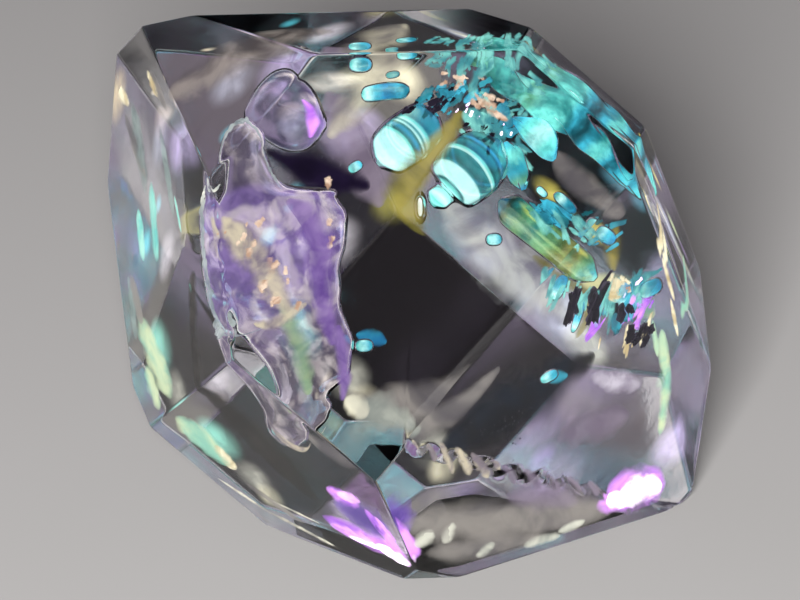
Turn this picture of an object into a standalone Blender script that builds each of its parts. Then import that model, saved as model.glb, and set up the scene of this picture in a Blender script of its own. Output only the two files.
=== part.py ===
"""Petroleum quartz: one stubby, doubly terminated quartz crystal that lies on a rhomb face.

Sealed pockets of oil and clear fluid sit along one growth plane, a little behind the front
faces. The clear crystal is parted along that plane, so every pocket opens into the parting gap.
Distances are in millimetres and are turned into metres where a mesh is made.
"""

import math

import bmesh
import bpy
import numpy as np
from mathutils import Matrix, Vector

MM = 0.001

# ---- crystal habit: each face is a plane at a distance from the crystal's centre (mm) ----
RHOMB_LEAN = math.radians(51.79)  # between the long axis and the normal of a rhomb face
FACE_STEP = math.radians(60.0)  # six faces round the long axis
PRISM = (5.1, 5.1, 3.4, 6.1, 3.6, 4.5)
UPPER_RHOMBS = (4.75, 5.3, 5.35, 5.6, 3.93, 5.85)
LOWER_RHOMBS = (5.65, 4.5, 4.35, 5.8, 5.6, 4.7)
RESTING_FACE = 0  # the upper rhomb that the crystal lies on
FRONT_FACE = 4  # the broad prism face, and the upper rhomb below it
HEADING = math.radians(286.4)  # turn about the vertical, from the side the long axis leans to
EDGE_CHAMFER = 0.07
BLOCK = 30.0  # side of the block that the faces are cut from

# ---- growth ledge: a raised layer with a saw-tooth rim, on the rhomb below the front face ----
LEDGE_HEIGHT = 0.08
LEDGE_START = (-1.9, -1.2)  # along and up that face, from its middle
LEDGE_END = (4.0, -4.4)
LEDGE_TEETH = 9
TOOTH_HEIGHT = 0.34

# ---- chips along the left edge of the front face ----
CHIP_START = (-3.9, 2.3)  # (right, up) on the front face
CHIP_END = (-3.55, -0.9)
CHIP_RADII = (0.34, 0.22, 0.4, 0.26, 0.3)
CHIP_DEPTH = 0.12

# ---- parting and pockets ----
PARTING = 2.15  # distance of the parting plane in front of the crystal's centre
PARTING_SLOPE = 0.15  # how much the plane falls back for each millimetre towards the ledge's face
PARTING_GAP = 0.04
CLEARANCE = 0.03
RING = 10  # corners round a pocket

# Each pocket is a row of stations (right, up, half width, half depth) along the parting plane.
# "lift" moves it towards the front face. A pocket tapers to its first and last stations.
TALL_CAVITY = (
    (-3.1, 3.35, 0.08, 0.06),
    (-3.1, 3.15, 0.32, 0.2),
    (-3.05, 2.7, 0.44, 0.28),
    (-3.05, 2.2, 0.54, 0.34),
    (-3.0, 1.8, 0.68, 0.4),
    (-2.75, 1.5, 0.9, 0.5),
    (-2.6, 0.95, 1.12, 0.58),
    (-2.55, 0.25, 1.08, 0.55),
    (-2.45, -0.35, 0.95, 0.5),
    (-2.3, -0.95, 0.8, 0.44),
    (-2.1, -1.55, 0.62, 0.38),
    (-2.1, -2.05, 0.54, 0.34),
    (-2.15, -2.45, 0.5, 0.28),
    (-2.2, -2.8, 0.2, 0.1),
)
BELL_CAVITY = (
    (-2.85, 3.4, 0.14, 0.12),
    (-2.65, 3.5, 0.45, 0.4),
    (-2.3, 3.55, 0.68, 0.55),
    (-1.95, 3.55, 0.68, 0.55),
    (-1.7, 3.5, 0.45, 0.4),
    (-1.55, 3.4, 0.14, 0.12),
)
BARREL_UPPER = (
    (-0.55, 2.6, 0.12, 0.1),
    (-0.4, 2.75, 0.42, 0.36),
    (-0.1, 3.0, 0.52, 0.46),
    (0.2, 3.2, 0.5, 0.44),
    (0.45, 3.4, 0.34, 0.3),
    (0.6, 3.55, 0.12, 0.1),
)
BARREL_LOWER = (
    (0.5, 1.8, 0.1, 0.1),
    (0.6, 1.88, 0.24, 0.22),
    (0.75, 2.0, 0.3, 0.28),
    (0.8, 2.08, 0.52, 0.46),
    (1.05, 2.3, 0.64, 0.56),
    (1.35, 2.6, 0.64, 0.56),
    (1.65, 2.85, 0.5, 0.44),
    (1.8, 3.0, 0.16, 0.14),
)
FLAKE = (
    (2.85, 2.6, 0.08, 0.08),
    (2.75, 2.85, 0.24, 0.18),
    (2.5, 3.1, 0.26, 0.2),
    (2.25, 3.28, 0.18, 0.16),
    (2.05, 3.4, 0.06, 0.06),
)
STEM = (
    (1.9, 2.95, 0.06, 0.06),
    (2.0, 2.75, 0.2, 0.16),
    (2.1, 2.45, 0.2, 0.16),
    (2.2, 2.2, 0.16, 0.14),
    (2.25, 2.0, 0.06, 0.06),
)
CHANNEL = (
    (1.8, 1.8, 0.1, 0.08),
    (2.0, 1.65, 0.28, 0.2),
    (2.4, 1.3, 0.3, 0.22),
    (2.8, 0.95, 0.3, 0.22),
    (3.2, 0.6, 0.28, 0.2),
    (3.45, 0.4, 0.1, 0.08),
)
STREAK = (
    (1.2, 4.6, 0.06, 0.06),
    (1.7, 4.4, 0.18, 0.14),
    (2.25, 4.0, 0.26, 0.2),
    (2.9, 3.55, 0.32, 0.22),
    (3.4, 3.12, 0.28, 0.2),
    (3.8, 2.75, 0.2, 0.16),
    (4.2, 2.25, 0.13, 0.1),
    (4.5, 1.75, 0.05, 0.05),
)
PILL_LONG = (
    (-0.85, 3.94, 0.08, 0.07),
    (-0.75, 3.95, 0.15, 0.13),
    (-0.35, 4.0, 0.17, 0.15),
    (-0.05, 4.0, 0.15, 0.13),
    (0.07, 4.02, 0.08, 0.07),
)
# Small rounded pieces: name, (right, up) of the middle, half length, half width, tilt (degrees)
SMALL_POCKETS = (
    ("oil_pill_round", (-0.86, 4.52), 0.22, 0.16, 0.0),
    ("oil_pill_small", (-0.24, 4.31), 0.13, 0.07, 8.0),
    ("oil_pill_top", (0.05, 4.68), 0.2, 0.1, 4.0),
    ("oil_drop_1", (3.05, 1.75), 0.24, 0.12, -45.0),
    ("oil_drop_2", (3.6, 1.3), 0.26, 0.16, -42.0),
    ("oil_drop_3", (2.62, 1.95), 0.12, 0.08, -45.0),
    ("oil_drop_4", (1.67, 1.05), 0.15, 0.13, 0.0),
    ("oil_drop_5", (2.6, -1.6), 0.2, 0.14, 20.0),
    ("oil_drop_6", (-0.9, -0.95), 0.17, 0.14, 0.0),
    ("oil_drop_7", (-1.0, 2.55), 0.15, 0.11, 30.0),
    ("oil_sliver_1", (2.65, 0.32), 0.28, 0.18, 65.0),
    ("oil_sliver_2", (3.15, -0.3), 0.42, 0.1, 75.0),
    ("oil_sliver_3", (3.58, -0.2), 0.48, 0.09, 86.0),
    ("oil_sliver_4", (4.05, -0.02), 0.28, 0.22, 60.0),
    ("oil_sliver_5", (4.7, 0.02), 0.26, 0.22, 20.0),
    ("gas_bubble", (0.3, 1.62), 0.14, 0.12, 45.0),
)

OIL_CYAN = (0.28, 0.78, 0.8)
OIL_YELLOW = (0.6, 0.66, 0.25)
FLUID_LILAC = (0.72, 0.66, 0.86)
QUARTZ_CLEAR = (0.93, 0.93, 0.95)
GAS_DARK = (0.05, 0.06, 0.07)


def face_normal(kind, place):
    """The outward normal of a face, in the crystal's own axes (Z is the long axis)."""
    turn = FACE_STEP * place
    if kind == "prism":
        return Vector((math.cos(turn), math.sin(turn), 0.0))
    rise = math.cos(RHOMB_LEAN) * (1.0 if kind == "upper" else -1.0)
    flat = math.sin(RHOMB_LEAN)
    return Vector((flat * math.cos(turn), flat * math.sin(turn), rise))


def lying_pose():
    """The turn that lays the crystal on its resting face, with the heading about the vertical."""
    up = -face_normal("upper", RESTING_FACE)
    axis = Vector((0.0, 0.0, 1.0))
    leaning = (axis - up * axis.dot(up)).normalized()
    across = up.cross(leaning)
    to_front = leaning * math.cos(HEADING) + across * math.sin(HEADING)
    right = up.cross(to_front)
    return Matrix((right, -to_front, up))


POSE = lying_pose()
FRONT = POSE @ face_normal("prism", FRONT_FACE)
RIGHT = Vector((0.0, 0.0, 1.0)).cross(FRONT).normalized()
UP = FRONT.cross(RIGHT)
LEDGE_OUT = POSE @ face_normal("upper", FRONT_FACE)
LEDGE_RIGHT = Vector((0.0, 0.0, 1.0)).cross(LEDGE_OUT).normalized()
LEDGE_UP = LEDGE_OUT.cross(LEDGE_RIGHT)
TOWARDS_LEDGE = (LEDGE_OUT - FRONT * LEDGE_OUT.dot(FRONT)).normalized()


def crystal_faces():
    """(normal, distance) of all eighteen faces, in world directions."""
    rows = (("prism", PRISM), ("upper", UPPER_RHOMBS), ("lower", LOWER_RHOMBS))
    return [
        (POSE @ face_normal(kind, place), distance)
        for kind, distances in rows
        for place, distance in enumerate(distances)
    ]


def cut_away(mesh, point, normal):
    """Removes what lies beyond a plane and closes the cut with one flat face."""
    bmesh.ops.bisect_plane(
        mesh,
        geom=list(mesh.verts) + list(mesh.edges) + list(mesh.faces),
        dist=1e-5,
        plane_co=point,
        plane_no=normal,
        clear_outer=True,
    )
    rim = [edge for edge in mesh.edges if edge.is_boundary]
    if rim:
        bmesh.ops.contextual_create(mesh, geom=rim)


def faceted_block():
    """The crystal's flat faces, in millimetres about its centre."""
    mesh = bmesh.new()
    bmesh.ops.create_cube(mesh, size=BLOCK)
    for normal, distance in crystal_faces():
        cut_away(mesh, normal * distance, normal)
    bmesh.ops.remove_doubles(mesh, verts=mesh.verts, dist=1e-4)
    return mesh


def middle_of_footprint():
    """The world offset (mm) that puts the crystal on the ground with its box over the origin."""
    mesh = faceted_block()
    points = np.array([vertex.co[:] for vertex in mesh.verts])
    mesh.free()
    low, high = points.min(axis=0), points.max(axis=0)
    return Vector((-(low[0] + high[0]) / 2, -(low[1] + high[1]) / 2, -low[2]))


CENTRE = middle_of_footprint()


def material(name, colour, roughness):
    made = bpy.data.materials.new(name)
    made.use_nodes = True
    shader = made.node_tree.nodes["Principled BSDF"]
    shader.inputs["Base Color"].default_value = (*colour, 1.0)
    shader.inputs["Roughness"].default_value = roughness
    shader.inputs["Metallic"].default_value = 0.0
    return made


def add_object(name, mesh, finish):
    """Turns a bmesh in millimetres about the crystal's centre into an object in metres."""
    bmesh.ops.translate(mesh, vec=CENTRE, verts=mesh.verts)
    bmesh.ops.scale(mesh, vec=(MM, MM, MM), verts=mesh.verts)
    bmesh.ops.recalc_face_normals(mesh, faces=mesh.faces)
    data = bpy.data.meshes.new(name)
    mesh.to_mesh(data)
    mesh.free()
    made = bpy.data.objects.new(name, data)
    bpy.context.collection.objects.link(made)
    if finish:
        made.data.materials.append(finish)
    return made


def as_cutter(made):
    made.hide_render = True
    made.display_type = "WIRE"
    return made


def subtract(target, cutter):
    cut = target.modifiers.new(cutter.name, "BOOLEAN")
    cut.operation = "DIFFERENCE"
    cut.solver = "EXACT"
    cut.object = cutter


def before_front(right, up, out):
    """A point by its place across the front face and its distance out from the centre."""
    return RIGHT * right + UP * up + FRONT * out


def on_parting(right, up, lift):
    """The same, with the distance out counted from the sloping parting plane."""
    level = PARTING - PARTING_SLOPE * before_front(right, up, 0.0).dot(TOWARDS_LEDGE)
    return before_front(right, up, level + lift)


def lofted(stations, lift=0.0, swell=0.0):
    """A closed tube of elliptical rings set square to the line from its first to last station."""
    first, last = stations[0], stations[-1]
    run = (RIGHT * (last[0] - first[0]) + UP * (last[1] - first[1])).normalized()
    side = run.cross(FRONT)
    mesh = bmesh.new()
    rings = []
    for place, (right, up, half_width, half_depth) in enumerate(stations):
        push = {0: -swell, len(stations) - 1: swell}.get(place, 0.0)
        middle = on_parting(right, up, lift) + run * push
        ring = []
        for corner in range(RING):
            turn = 2 * math.pi * (corner + 0.5) / RING
            across = side * (half_width + swell) * math.cos(turn)
            deep = FRONT * (half_depth + swell) * math.sin(turn)
            ring.append(mesh.verts.new(middle + across + deep))
        rings.append(ring)
    for lower, upper in zip(rings, rings[1:]):
        for corner in range(RING):
            after = (corner + 1) % RING
            mesh.faces.new((lower[corner], lower[after], upper[after], upper[corner]))
    mesh.faces.new(rings[0][::-1])
    mesh.faces.new(rings[-1])
    return mesh


def rounded(middle, half_length, half_width, tilt, swell=0.0):
    """A small rounded pocket: five stations whose widths follow an ellipse."""
    turn = math.radians(tilt)
    stations = []
    for part in (-1.0, -0.7, 0.0, 0.7, 1.0):
        width = half_width * max(math.sqrt(1.0 - part * part), 0.35)
        right = middle[0] + half_length * part * math.cos(turn)
        up = middle[1] + half_length * part * math.sin(turn)
        stations.append((right, up, width, width))
    return lofted(stations, swell=swell)


def growth_ledge_cutter():
    """A slab over the upper part of the ledge's face, its lower rim cut like a saw."""
    start, end = Vector(LEDGE_START), Vector(LEDGE_END)
    rim = []
    for tooth in range(LEDGE_TEETH + 1):
        rim.append(start.lerp(end, tooth / LEDGE_TEETH))
        if tooth < LEDGE_TEETH:
            tip = start.lerp(end, (tooth + 0.35) / LEDGE_TEETH)
            rim.append(tip + Vector((0.0, TOOTH_HEIGHT * (1.0 - 0.06 * tooth))))
    outline = [Vector((-BLOCK / 2, start.y))] + rim + [Vector((BLOCK / 2, end.y))]
    outline += [Vector((BLOCK / 2, BLOCK / 2)), Vector((-BLOCK / 2, BLOCK / 2))]
    low = UPPER_RHOMBS[FRONT_FACE] - LEDGE_HEIGHT
    mesh = bmesh.new()
    base = [mesh.verts.new(LEDGE_RIGHT * p.x + LEDGE_UP * p.y + LEDGE_OUT * low) for p in outline]
    face = mesh.faces.new(base)
    grown = bmesh.ops.extrude_face_region(mesh, geom=[face])["geom"]
    moved = [item for item in grown if isinstance(item, bmesh.types.BMVert)]
    bmesh.ops.translate(mesh, vec=LEDGE_OUT, verts=moved)
    return mesh


def chip_cutters():
    """Balls that bite shallow scallops out of the left edge of the front face."""
    start, end = Vector(CHIP_START), Vector(CHIP_END)
    for number, radius in enumerate(CHIP_RADII):
        place = start.lerp(end, (number + 0.5) / len(CHIP_RADII))
        middle = before_front(place.x, place.y, PRISM[FRONT_FACE])
        outward = (FRONT - RIGHT).normalized()
        mesh = bmesh.new()
        bmesh.ops.create_icosphere(mesh, subdivisions=2, radius=radius)
        bmesh.ops.translate(mesh, vec=middle + outward * (radius - CHIP_DEPTH), verts=mesh.verts)
        yield mesh


def half_crystal(name, is_front, finish, cutters):
    """One side of the parted crystal, with chamfered edges and every pocket cut out."""
    mesh = faceted_block()
    sign = -1.0 if is_front else 1.0
    made = add_object(name, mesh, finish)
    chamfer = made.modifiers.new("chamfer", "BEVEL")
    chamfer.width = EDGE_CHAMFER * MM
    chamfer.segments = 1
    chamfer.limit_method = "ANGLE"
    chamfer.angle_limit = math.radians(20.0)
    slab = bmesh.new()
    bmesh.ops.create_cube(slab, size=BLOCK)
    across = (FRONT + TOWARDS_LEDGE * PARTING_SLOPE).normalized()
    level = PARTING * FRONT.dot(across)
    turned = across.to_track_quat("Z", "Y").to_matrix().to_4x4()
    shift = across * (level - sign * PARTING_GAP / 2 + sign * BLOCK / 2)
    bmesh.ops.transform(slab, matrix=Matrix.Translation(shift) @ turned, verts=slab.verts)
    parting = as_cutter(add_object(name + "_parting", slab, None))
    subtract(made, parting)
    for cutter in cutters:
        subtract(made, cutter)
    return made


def clear_scene():
    for old in list(bpy.data.objects):
        bpy.data.objects.remove(old, do_unlink=True)


def build():
    clear_scene()
    quartz = material("clear_quartz", QUARTZ_CLEAR, 0.03)
    cyan = material("glowing_oil", OIL_CYAN, 0.1)
    yellow = material("yellow_oil", OIL_YELLOW, 0.12)
    lilac = material("clear_fluid", FLUID_LILAC, 0.05)
    gas = material("gas", GAS_DARK, 0.05)

    shapes = (
        ("tall_cavity_fluid", TALL_CAVITY, -0.1, lilac),
        ("bell_cavity_fluid", BELL_CAVITY, -0.5, lilac),
        ("oil_barrel_upper", BARREL_UPPER, 0.0, cyan),
        ("oil_barrel_lower", BARREL_LOWER, 0.1, cyan),
        ("oil_flake", FLAKE, 0.0, cyan),
        ("oil_stem", STEM, 0.05, cyan),
        ("oil_channel", CHANNEL, 0.0, yellow),
        ("oil_streak", STREAK, 0.0, cyan),
        ("oil_pill_long", PILL_LONG, 0.05, cyan),
    )
    pockets = []
    for name, stations, lift, finish in shapes:
        add_object(name, lofted(stations, lift), finish)
        pocket = lofted(stations, lift, CLEARANCE)
        pockets.append(as_cutter(add_object(name + "_pocket", pocket, None)))
    for name, *shape in SMALL_POCKETS:
        add_object(name, rounded(*shape), gas if name == "gas_bubble" else cyan)
        pocket = rounded(*shape, swell=CLEARANCE)
        pockets.append(as_cutter(add_object(name + "_pocket", pocket, None)))

    ledge = as_cutter(add_object("growth_ledge", growth_ledge_cutter(), None))
    chips = [
        as_cutter(add_object(f"edge_chip_{number}", chip, None))
        for number, chip in enumerate(chip_cutters(), 1)
    ]
    half_crystal("quartz_front", True, quartz, [ledge, *chips, *pockets])
    half_crystal("quartz_back", False, quartz, [ledge, *pockets])


build()
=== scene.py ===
"""Looks of the petroleum quartz: one clear crystal with sealed pockets of glowing oil, fluid and gas.

Sizes are in millimetres about the crystal's centre, and become metres where a mesh is made. Places in
the crystal are (right, up) across its broad front face, and a depth along that face's normal.
"""
import functools
import itertools
import math

import bpy
import numpy as np
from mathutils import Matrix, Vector


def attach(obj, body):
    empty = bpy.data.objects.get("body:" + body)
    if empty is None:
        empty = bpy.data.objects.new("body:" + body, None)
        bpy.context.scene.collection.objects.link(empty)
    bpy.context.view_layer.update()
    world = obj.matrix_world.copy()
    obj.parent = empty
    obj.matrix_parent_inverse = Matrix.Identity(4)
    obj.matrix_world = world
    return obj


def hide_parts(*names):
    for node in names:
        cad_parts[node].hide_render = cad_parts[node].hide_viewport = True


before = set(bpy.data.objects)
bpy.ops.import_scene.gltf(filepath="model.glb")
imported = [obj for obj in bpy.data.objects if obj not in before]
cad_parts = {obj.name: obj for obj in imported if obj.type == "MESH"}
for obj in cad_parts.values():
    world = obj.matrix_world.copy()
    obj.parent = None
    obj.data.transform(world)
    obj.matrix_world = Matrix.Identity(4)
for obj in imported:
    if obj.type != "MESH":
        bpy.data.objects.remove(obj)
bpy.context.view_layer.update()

MM = 0.001

# ---- crystal habit: each face lies at a distance from the crystal's centre (mm) ----
RHOMB_LEAN = math.radians(51.79)
PRISM = (5.1, 5.1, 3.4, 6.1, 3.6, 4.5)
UPPER_RHOMBS = (4.75, 5.3, 5.35, 5.6, 3.93, 5.85)
LOWER_RHOMBS = (5.65, 4.5, 4.35, 5.8, 5.6, 4.7)
RESTING_FACE, FRONT_FACE, LEDGE_FACE = 6, 4, 10
ETCHED_FACES = (0, 1, 2, 6, 7, 8, 12, 13, 14)  # the faces turned away from the front
HEADING = math.radians(286.4)
EDGE_SHARPNESS = 60.0  # per mm: the higher it is, the smaller the rounding of the edges
EDGE_STEP = 0.075  # mm between a face's points along its edges
EDGE_RINGS = (0.0, 0.014, 0.03, 0.055, 0.095)  # mm from the edges, of the rings that round them
RING_STEP, LEDGE_RING_STEP = 0.6, 0.06  # mm, about, between the other rings of a face
SURFACE_ROUNDS, SURFACE_STEP = 16, 1e-4  # of the search for the surface
ROOM = 1e-6  # for rounding errors
CORNER_DECIMALS = 6  # to which two corners at one place agree
POINT_DECIMALS = 5  # to which two points at one place agree
TOUCHING = 1e-4  # mm: a corner as near as this lies on a face

# ---- growth ledge: the layer's rim, across the rhomb face below the front face (mm) ----
LEDGE_HEIGHT = 0.08
LEDGE_START = (-1.9, -1.2)
LEDGE_END = (4.0, -4.4)
LEDGE_SLOPE = 0.05
LEDGE_TEETH = 9
TOOTH_HEIGHT = 0.34
TOOTH_RISE = 0.35  # the share of a tooth's length in which it rises
TOOTH_FADE, LEAST_TOOTH = 0.06, 0.2  # shares of its height that each tooth loses, and that is left at least
TOOTH_DIP, DIP_REACH = 0.045, 0.5  # how deep the outer layer dips at a tooth, and how far from the rim

# ---- chips along the left edge of the front face: middle (right, up) and radius ----
CHIPS = (
    (-3.86, 1.98, 0.34), (-3.8, 1.34, 0.22), (-3.72, 0.7, 0.4), (-3.66, 0.06, 0.26), (-3.58, -0.58, 0.3),
)
CHIP_DEPTH = 0.12

# ---- bodies inside the crystal (mm) ----
PARTING, PARTING_SLOPE = 2.15, 0.15  # the plane that the pockets lie along
WALL_GAP = 0.008  # between a pocket's wall and what fills it
INNER_MARGIN = 0.12  # that grains and glows keep from the faces, where the ledge is cut in too
PRESS_ROUNDS = 12  # of pressing a body flat where it is nearer than that
THINNEST = 0.01  # half width of a body where its stations give less
END_POWER, LEAST_END = 14, 0.02  # the higher the power, the blunter a body's ends; the least keeps them open
BOX_POWER = 0.8  # 1 makes a rounded body an ellipsoid, and less draws it out towards a box
STROKE_STEPS = 20
STROKE_END, STROKE_POWER = 0.06, 0.6  # share of a half turn left out at each end; power of its sine
STROKE_UNEVENNESS, STROKE_PACE = 0.12, 4.0

# ---- what the crystal is made of ----
QUARTZ_IOR = 1.544
OIL_WALL_IOR, FLUID_WALL_IOR, FAINT_WALL_IOR = 1.12, 1.18, 1.07  # what fills a pocket, against the quartz
BODY_TINT = (0.63, 0.5, 0.785)
BODY_DENSITY = 9.0
FILLING_IOR = 1.0  # the pocket's wall has bent the light already
FILLING_ROUGHNESS, FLECK_ROUGHNESS = 0.03, 0.1
ETCHED_ROUGHNESS = (0.08, 0.17)
STREAKED_SHARE = 0.6  # of the painted light in the etched faces' patches that is broken into streaks
MIRRORED_LOSS = 0.85  # what such a painted glow loses in a mirror image
GROWTH_WAVER = 0.00025  # metres by which the growth lines waver
CRYSTAL_SLOTS = ("clear", "etched", "oil", "fluid", "gas", "faint_fluid")  # faces, then pocket walls

# ---- colours ----
WHITE = (1.0, 1.0, 1.0)
BLACK = (0.0, 0.0, 0.0)
AQUA = (0.2, 0.74, 0.64)
PALE_AQUA = (0.62, 0.98, 0.9)
CYAN = (0.05, 0.42, 0.56)
BLUE = (0.02, 0.2, 0.42)
TEAL = (0.015, 0.14, 0.15)
DEEP_TEAL = (0.003, 0.02, 0.024)
INK = (0.004, 0.004, 0.01)
GREEN = (0.12, 0.3, 0.15)
OLIVE = (0.2, 0.18, 0.035)
YELLOW = (0.5, 0.42, 0.09)
OIL_TINT, OIL_SHADE, OIL_GRIT = (0.55, 0.9, 0.92), (0.05, 0.16, 0.18), (0.5, 0.62, 0.66)
MILK_TINT, MILK_SHADE, MILK_GRIT = (0.9, 0.87, 0.97), (0.18, 0.14, 0.3), (0.6, 0.58, 0.66)
FLECK_TINT, FLECK_SHADE = (0.5, 0.6, 0.65), (0.25, 0.3, 0.35)
GAS_TINT = (0.1, 0.12, 0.13)

# ---- camera ----
FAR_OFF = 40.0  # mm before the crystal's centre, where a line of sight starts
CAMERA_ELEVATION = math.radians(28.7)
CAMERA_LENS = 200.0
SENSOR = 36.0
FIELD_WIDTH = 16.0  # mm seen across, at the crystal
AIM = (-0.041, -0.338)  # right and up of the crystal's centre, as the camera sees it
CLIPPING = (0.001, 10.0)  # metres

# ---- floor, light and surround ----
FLOOR_REACH = 1.0  # metres
FLOOR_COLOUR = (0.5, 0.5, 0.51)
FLOOR_IOR, FLOOR_ROUGHNESS = 1.5, 0.8
KEY_LIGHT = {
    "azimuth": -6, "elevation": 25, "distance": 0.15, "size": (0.045, 0.04), "power": 0.47,
    "colour": (1.0, 0.97, 0.93),
}
LIGHTS_AIM = (0.0, 0.0, 0.005)  # metres: the middle of the crystal
LIGHT_BOUNCES, GLOSSY_BOUNCES = 24, 12
SURROUND_SHADE = (0.012, 0.011, 0.014)
FILL_SHARE = 0.3  # of the surround's light that falls on the floor
# Soft patches of the surround: azimuth, elevation, inner and outer half width (degrees), colour.
SURROUND = (
    (-6, 30, 4, 24, (0.15, 0.13, 0.14)),
    (-24, 36, 3, 12, (0.42, 0.36, 0.46)),
    (54, 34, 5, 26, (0.24, 0.23, 0.2)),
    (140, 24, 5, 24, (0.34, 0.3, 0.36)),
    (133, 59, 5, 22, (0.26, 0.23, 0.26)),
    (-111, 52, 8, 30, (0.42, 0.37, 0.45)),
    (7, 69, 4, 16, (0.35, 0.33, 0.28)),
    (-18, 21, 2, 8, (0.3, 0.14, 0.36)),
)

# ---- pockets (mm) ----
# The tall cavity by its height: (up, left edge, right edge, half depth).
TALL_CAVITY = (
    (3.42, -3.02, -2.94, 0.05), (3.3, -3.24, -2.8, 0.16), (3.1, -3.4, -2.74, 0.24),
    (2.8, -3.46, -2.72, 0.28), (2.5, -3.5, -2.6, 0.3), (2.25, -3.54, -2.42, 0.34), (2.12, -3.6, -2.1, 0.4),
    (2.0, -3.7, -1.44, 0.48), (1.8, -3.76, -1.28, 0.54), (1.4, -3.8, -1.18, 0.58), (0.9, -3.78, -1.22, 0.58),
    (0.4, -3.7, -1.36, 0.56), (-0.1, -3.5, -1.34, 0.52), (-0.5, -3.3, -1.28, 0.48), (-0.8, -3.1, -1.14, 0.44),
    (-1.2, -2.8, -1.1, 0.4), (-1.6, -2.64, -1.2, 0.38), (-1.9, -2.6, -1.55, 0.36), (-2.2, -2.66, -1.56, 0.32),
    (-2.5, -2.62, -1.7, 0.26), (-2.78, -2.4, -2.05, 0.1),
)
# The other pockets by stations along them: (right, up, half width, half depth).
BELL_CAVITY = (
    (-2.9, 3.4, 0.1, 0.1), (-2.65, 3.5, 0.45, 0.4), (-2.3, 3.55, 0.68, 0.55), (-1.95, 3.55, 0.68, 0.55),
    (-1.7, 3.5, 0.45, 0.4), (-1.52, 3.4, 0.1, 0.1),
)
BARREL_UPPER = (
    (-0.58, 2.58, 0.1, 0.1), (-0.42, 2.73, 0.42, 0.36), (-0.1, 3.0, 0.52, 0.46), (0.2, 3.22, 0.5, 0.44),
    (0.48, 3.44, 0.4, 0.34), (0.6, 3.55, 0.1, 0.1),
)
BARREL_LOWER = (
    (0.46, 1.76, 0.08, 0.08), (0.56, 1.86, 0.24, 0.22), (0.74, 2.0, 0.27, 0.25), (0.82, 2.09, 0.54, 0.48),
    (1.05, 2.3, 0.64, 0.56), (1.35, 2.6, 0.64, 0.56), (1.65, 2.85, 0.5, 0.44), (1.82, 3.02, 0.12, 0.12),
)
FLAKE = (
    (2.88, 2.56, 0.05, 0.05), (2.78, 2.8, 0.24, 0.14), (2.52, 3.1, 0.27, 0.16), (2.25, 3.28, 0.16, 0.12),
    (2.05, 3.4, 0.05, 0.05),
)
STEM = (
    (1.9, 2.95, 0.05, 0.05), (2.0, 2.75, 0.2, 0.16), (2.12, 2.45, 0.2, 0.16), (2.22, 2.2, 0.18, 0.14),
    (2.27, 2.0, 0.05, 0.05),
)
CHANNEL = (
    (1.78, 1.82, 0.06, 0.06), (2.0, 1.65, 0.28, 0.2), (2.4, 1.3, 0.3, 0.22), (2.8, 0.95, 0.3, 0.22),
    (3.2, 0.6, 0.28, 0.2), (3.46, 0.38, 0.06, 0.06),
)
STREAK = (
    (1.2, 4.6, 0.05, 0.05), (1.7, 4.4, 0.18, 0.12), (2.25, 4.0, 0.26, 0.18), (2.9, 3.55, 0.32, 0.2),
    (3.4, 3.12, 0.28, 0.18), (3.8, 2.75, 0.2, 0.14), (4.2, 2.25, 0.13, 0.1), (4.5, 1.75, 0.04, 0.04),
)
PILL_LONG = (
    (-0.86, 3.93, 0.05, 0.05), (-0.75, 3.95, 0.15, 0.13), (-0.35, 4.0, 0.17, 0.15), (-0.05, 4.0, 0.15, 0.13),
    (0.08, 4.02, 0.05, 0.05),
)
GAS_PLACE = (0.24, 1.73, 0.08)  # right, up and lift: beside the lower barrel's tip
GAS_HALF = (0.24, 0.11, 0.11)
# The dark ring round the gas bubble is painted shade.
GAS_RING_HALF = (0.13, 0.28)
GAS_RING_THICKNESS = (0.05, 0.04)  # half width and half depth
GAS_RING_TURN = (0.1, 6.2)  # radians from the top, of the ring's two ends
GAS_RING_STATIONS = 20
GAS_RING_LIFT = 0.24


def unit(rows):
    """Each row divided by its length."""
    return rows / np.linalg.norm(rows, axis=-1, keepdims=True)


def smooth_step(value):
    """0 below 0, 1 above 1, and three squares less two cubes between."""
    part = np.clip(value, 0.0, 1.0)
    return part * part * (3.0 - 2.0 * part)


def face_normals():
    """The eighteen outward normals: six prism faces, six upper and six lower rhombs, 60 degrees apart."""
    turn = np.radians(60.0 * np.arange(6))
    level = np.stack([np.cos(turn), np.sin(turn), np.zeros(6)], axis=1)
    rise = np.array([0.0, 0.0, math.cos(RHOMB_LEAN)])
    lean = level * math.sin(RHOMB_LEAN)
    return np.concatenate([level, lean + rise, lean - rise])


def lying_pose(normals):
    """The turn that lays the crystal on its resting face: rows are the world's X, Y and Z."""
    up = -normals[RESTING_FACE]
    long_axis = np.array([0.0, 0.0, 1.0])
    leaning = unit(long_axis - up * (long_axis @ up))
    to_front = leaning * math.cos(HEADING) + np.cross(up, leaning) * math.sin(HEADING)
    return np.stack([np.cross(up, to_front), -to_front, up])


POSE = lying_pose(face_normals())
NORMALS = face_normals() @ POSE.T
DISTANCES = np.array(PRISM + UPPER_RHOMBS + LOWER_RHOMBS)
LONG_AXIS = POSE[:, 2]
FRONT = NORMALS[FRONT_FACE]
RIGHT = unit(np.cross((0.0, 0.0, 1.0), FRONT))
UP = np.cross(FRONT, RIGHT)
LEDGE_OUT = NORMALS[LEDGE_FACE]
LEDGE_RIGHT = unit(np.cross((0.0, 0.0, 1.0), LEDGE_OUT))
LEDGE_UP = np.cross(LEDGE_OUT, LEDGE_RIGHT)
TOWARDS_LEDGE = unit(LEDGE_OUT - FRONT * (LEDGE_OUT @ FRONT))
GROWTH_WAY = unit(LONG_AXIS + 0.4 * NORMALS[0])


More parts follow.
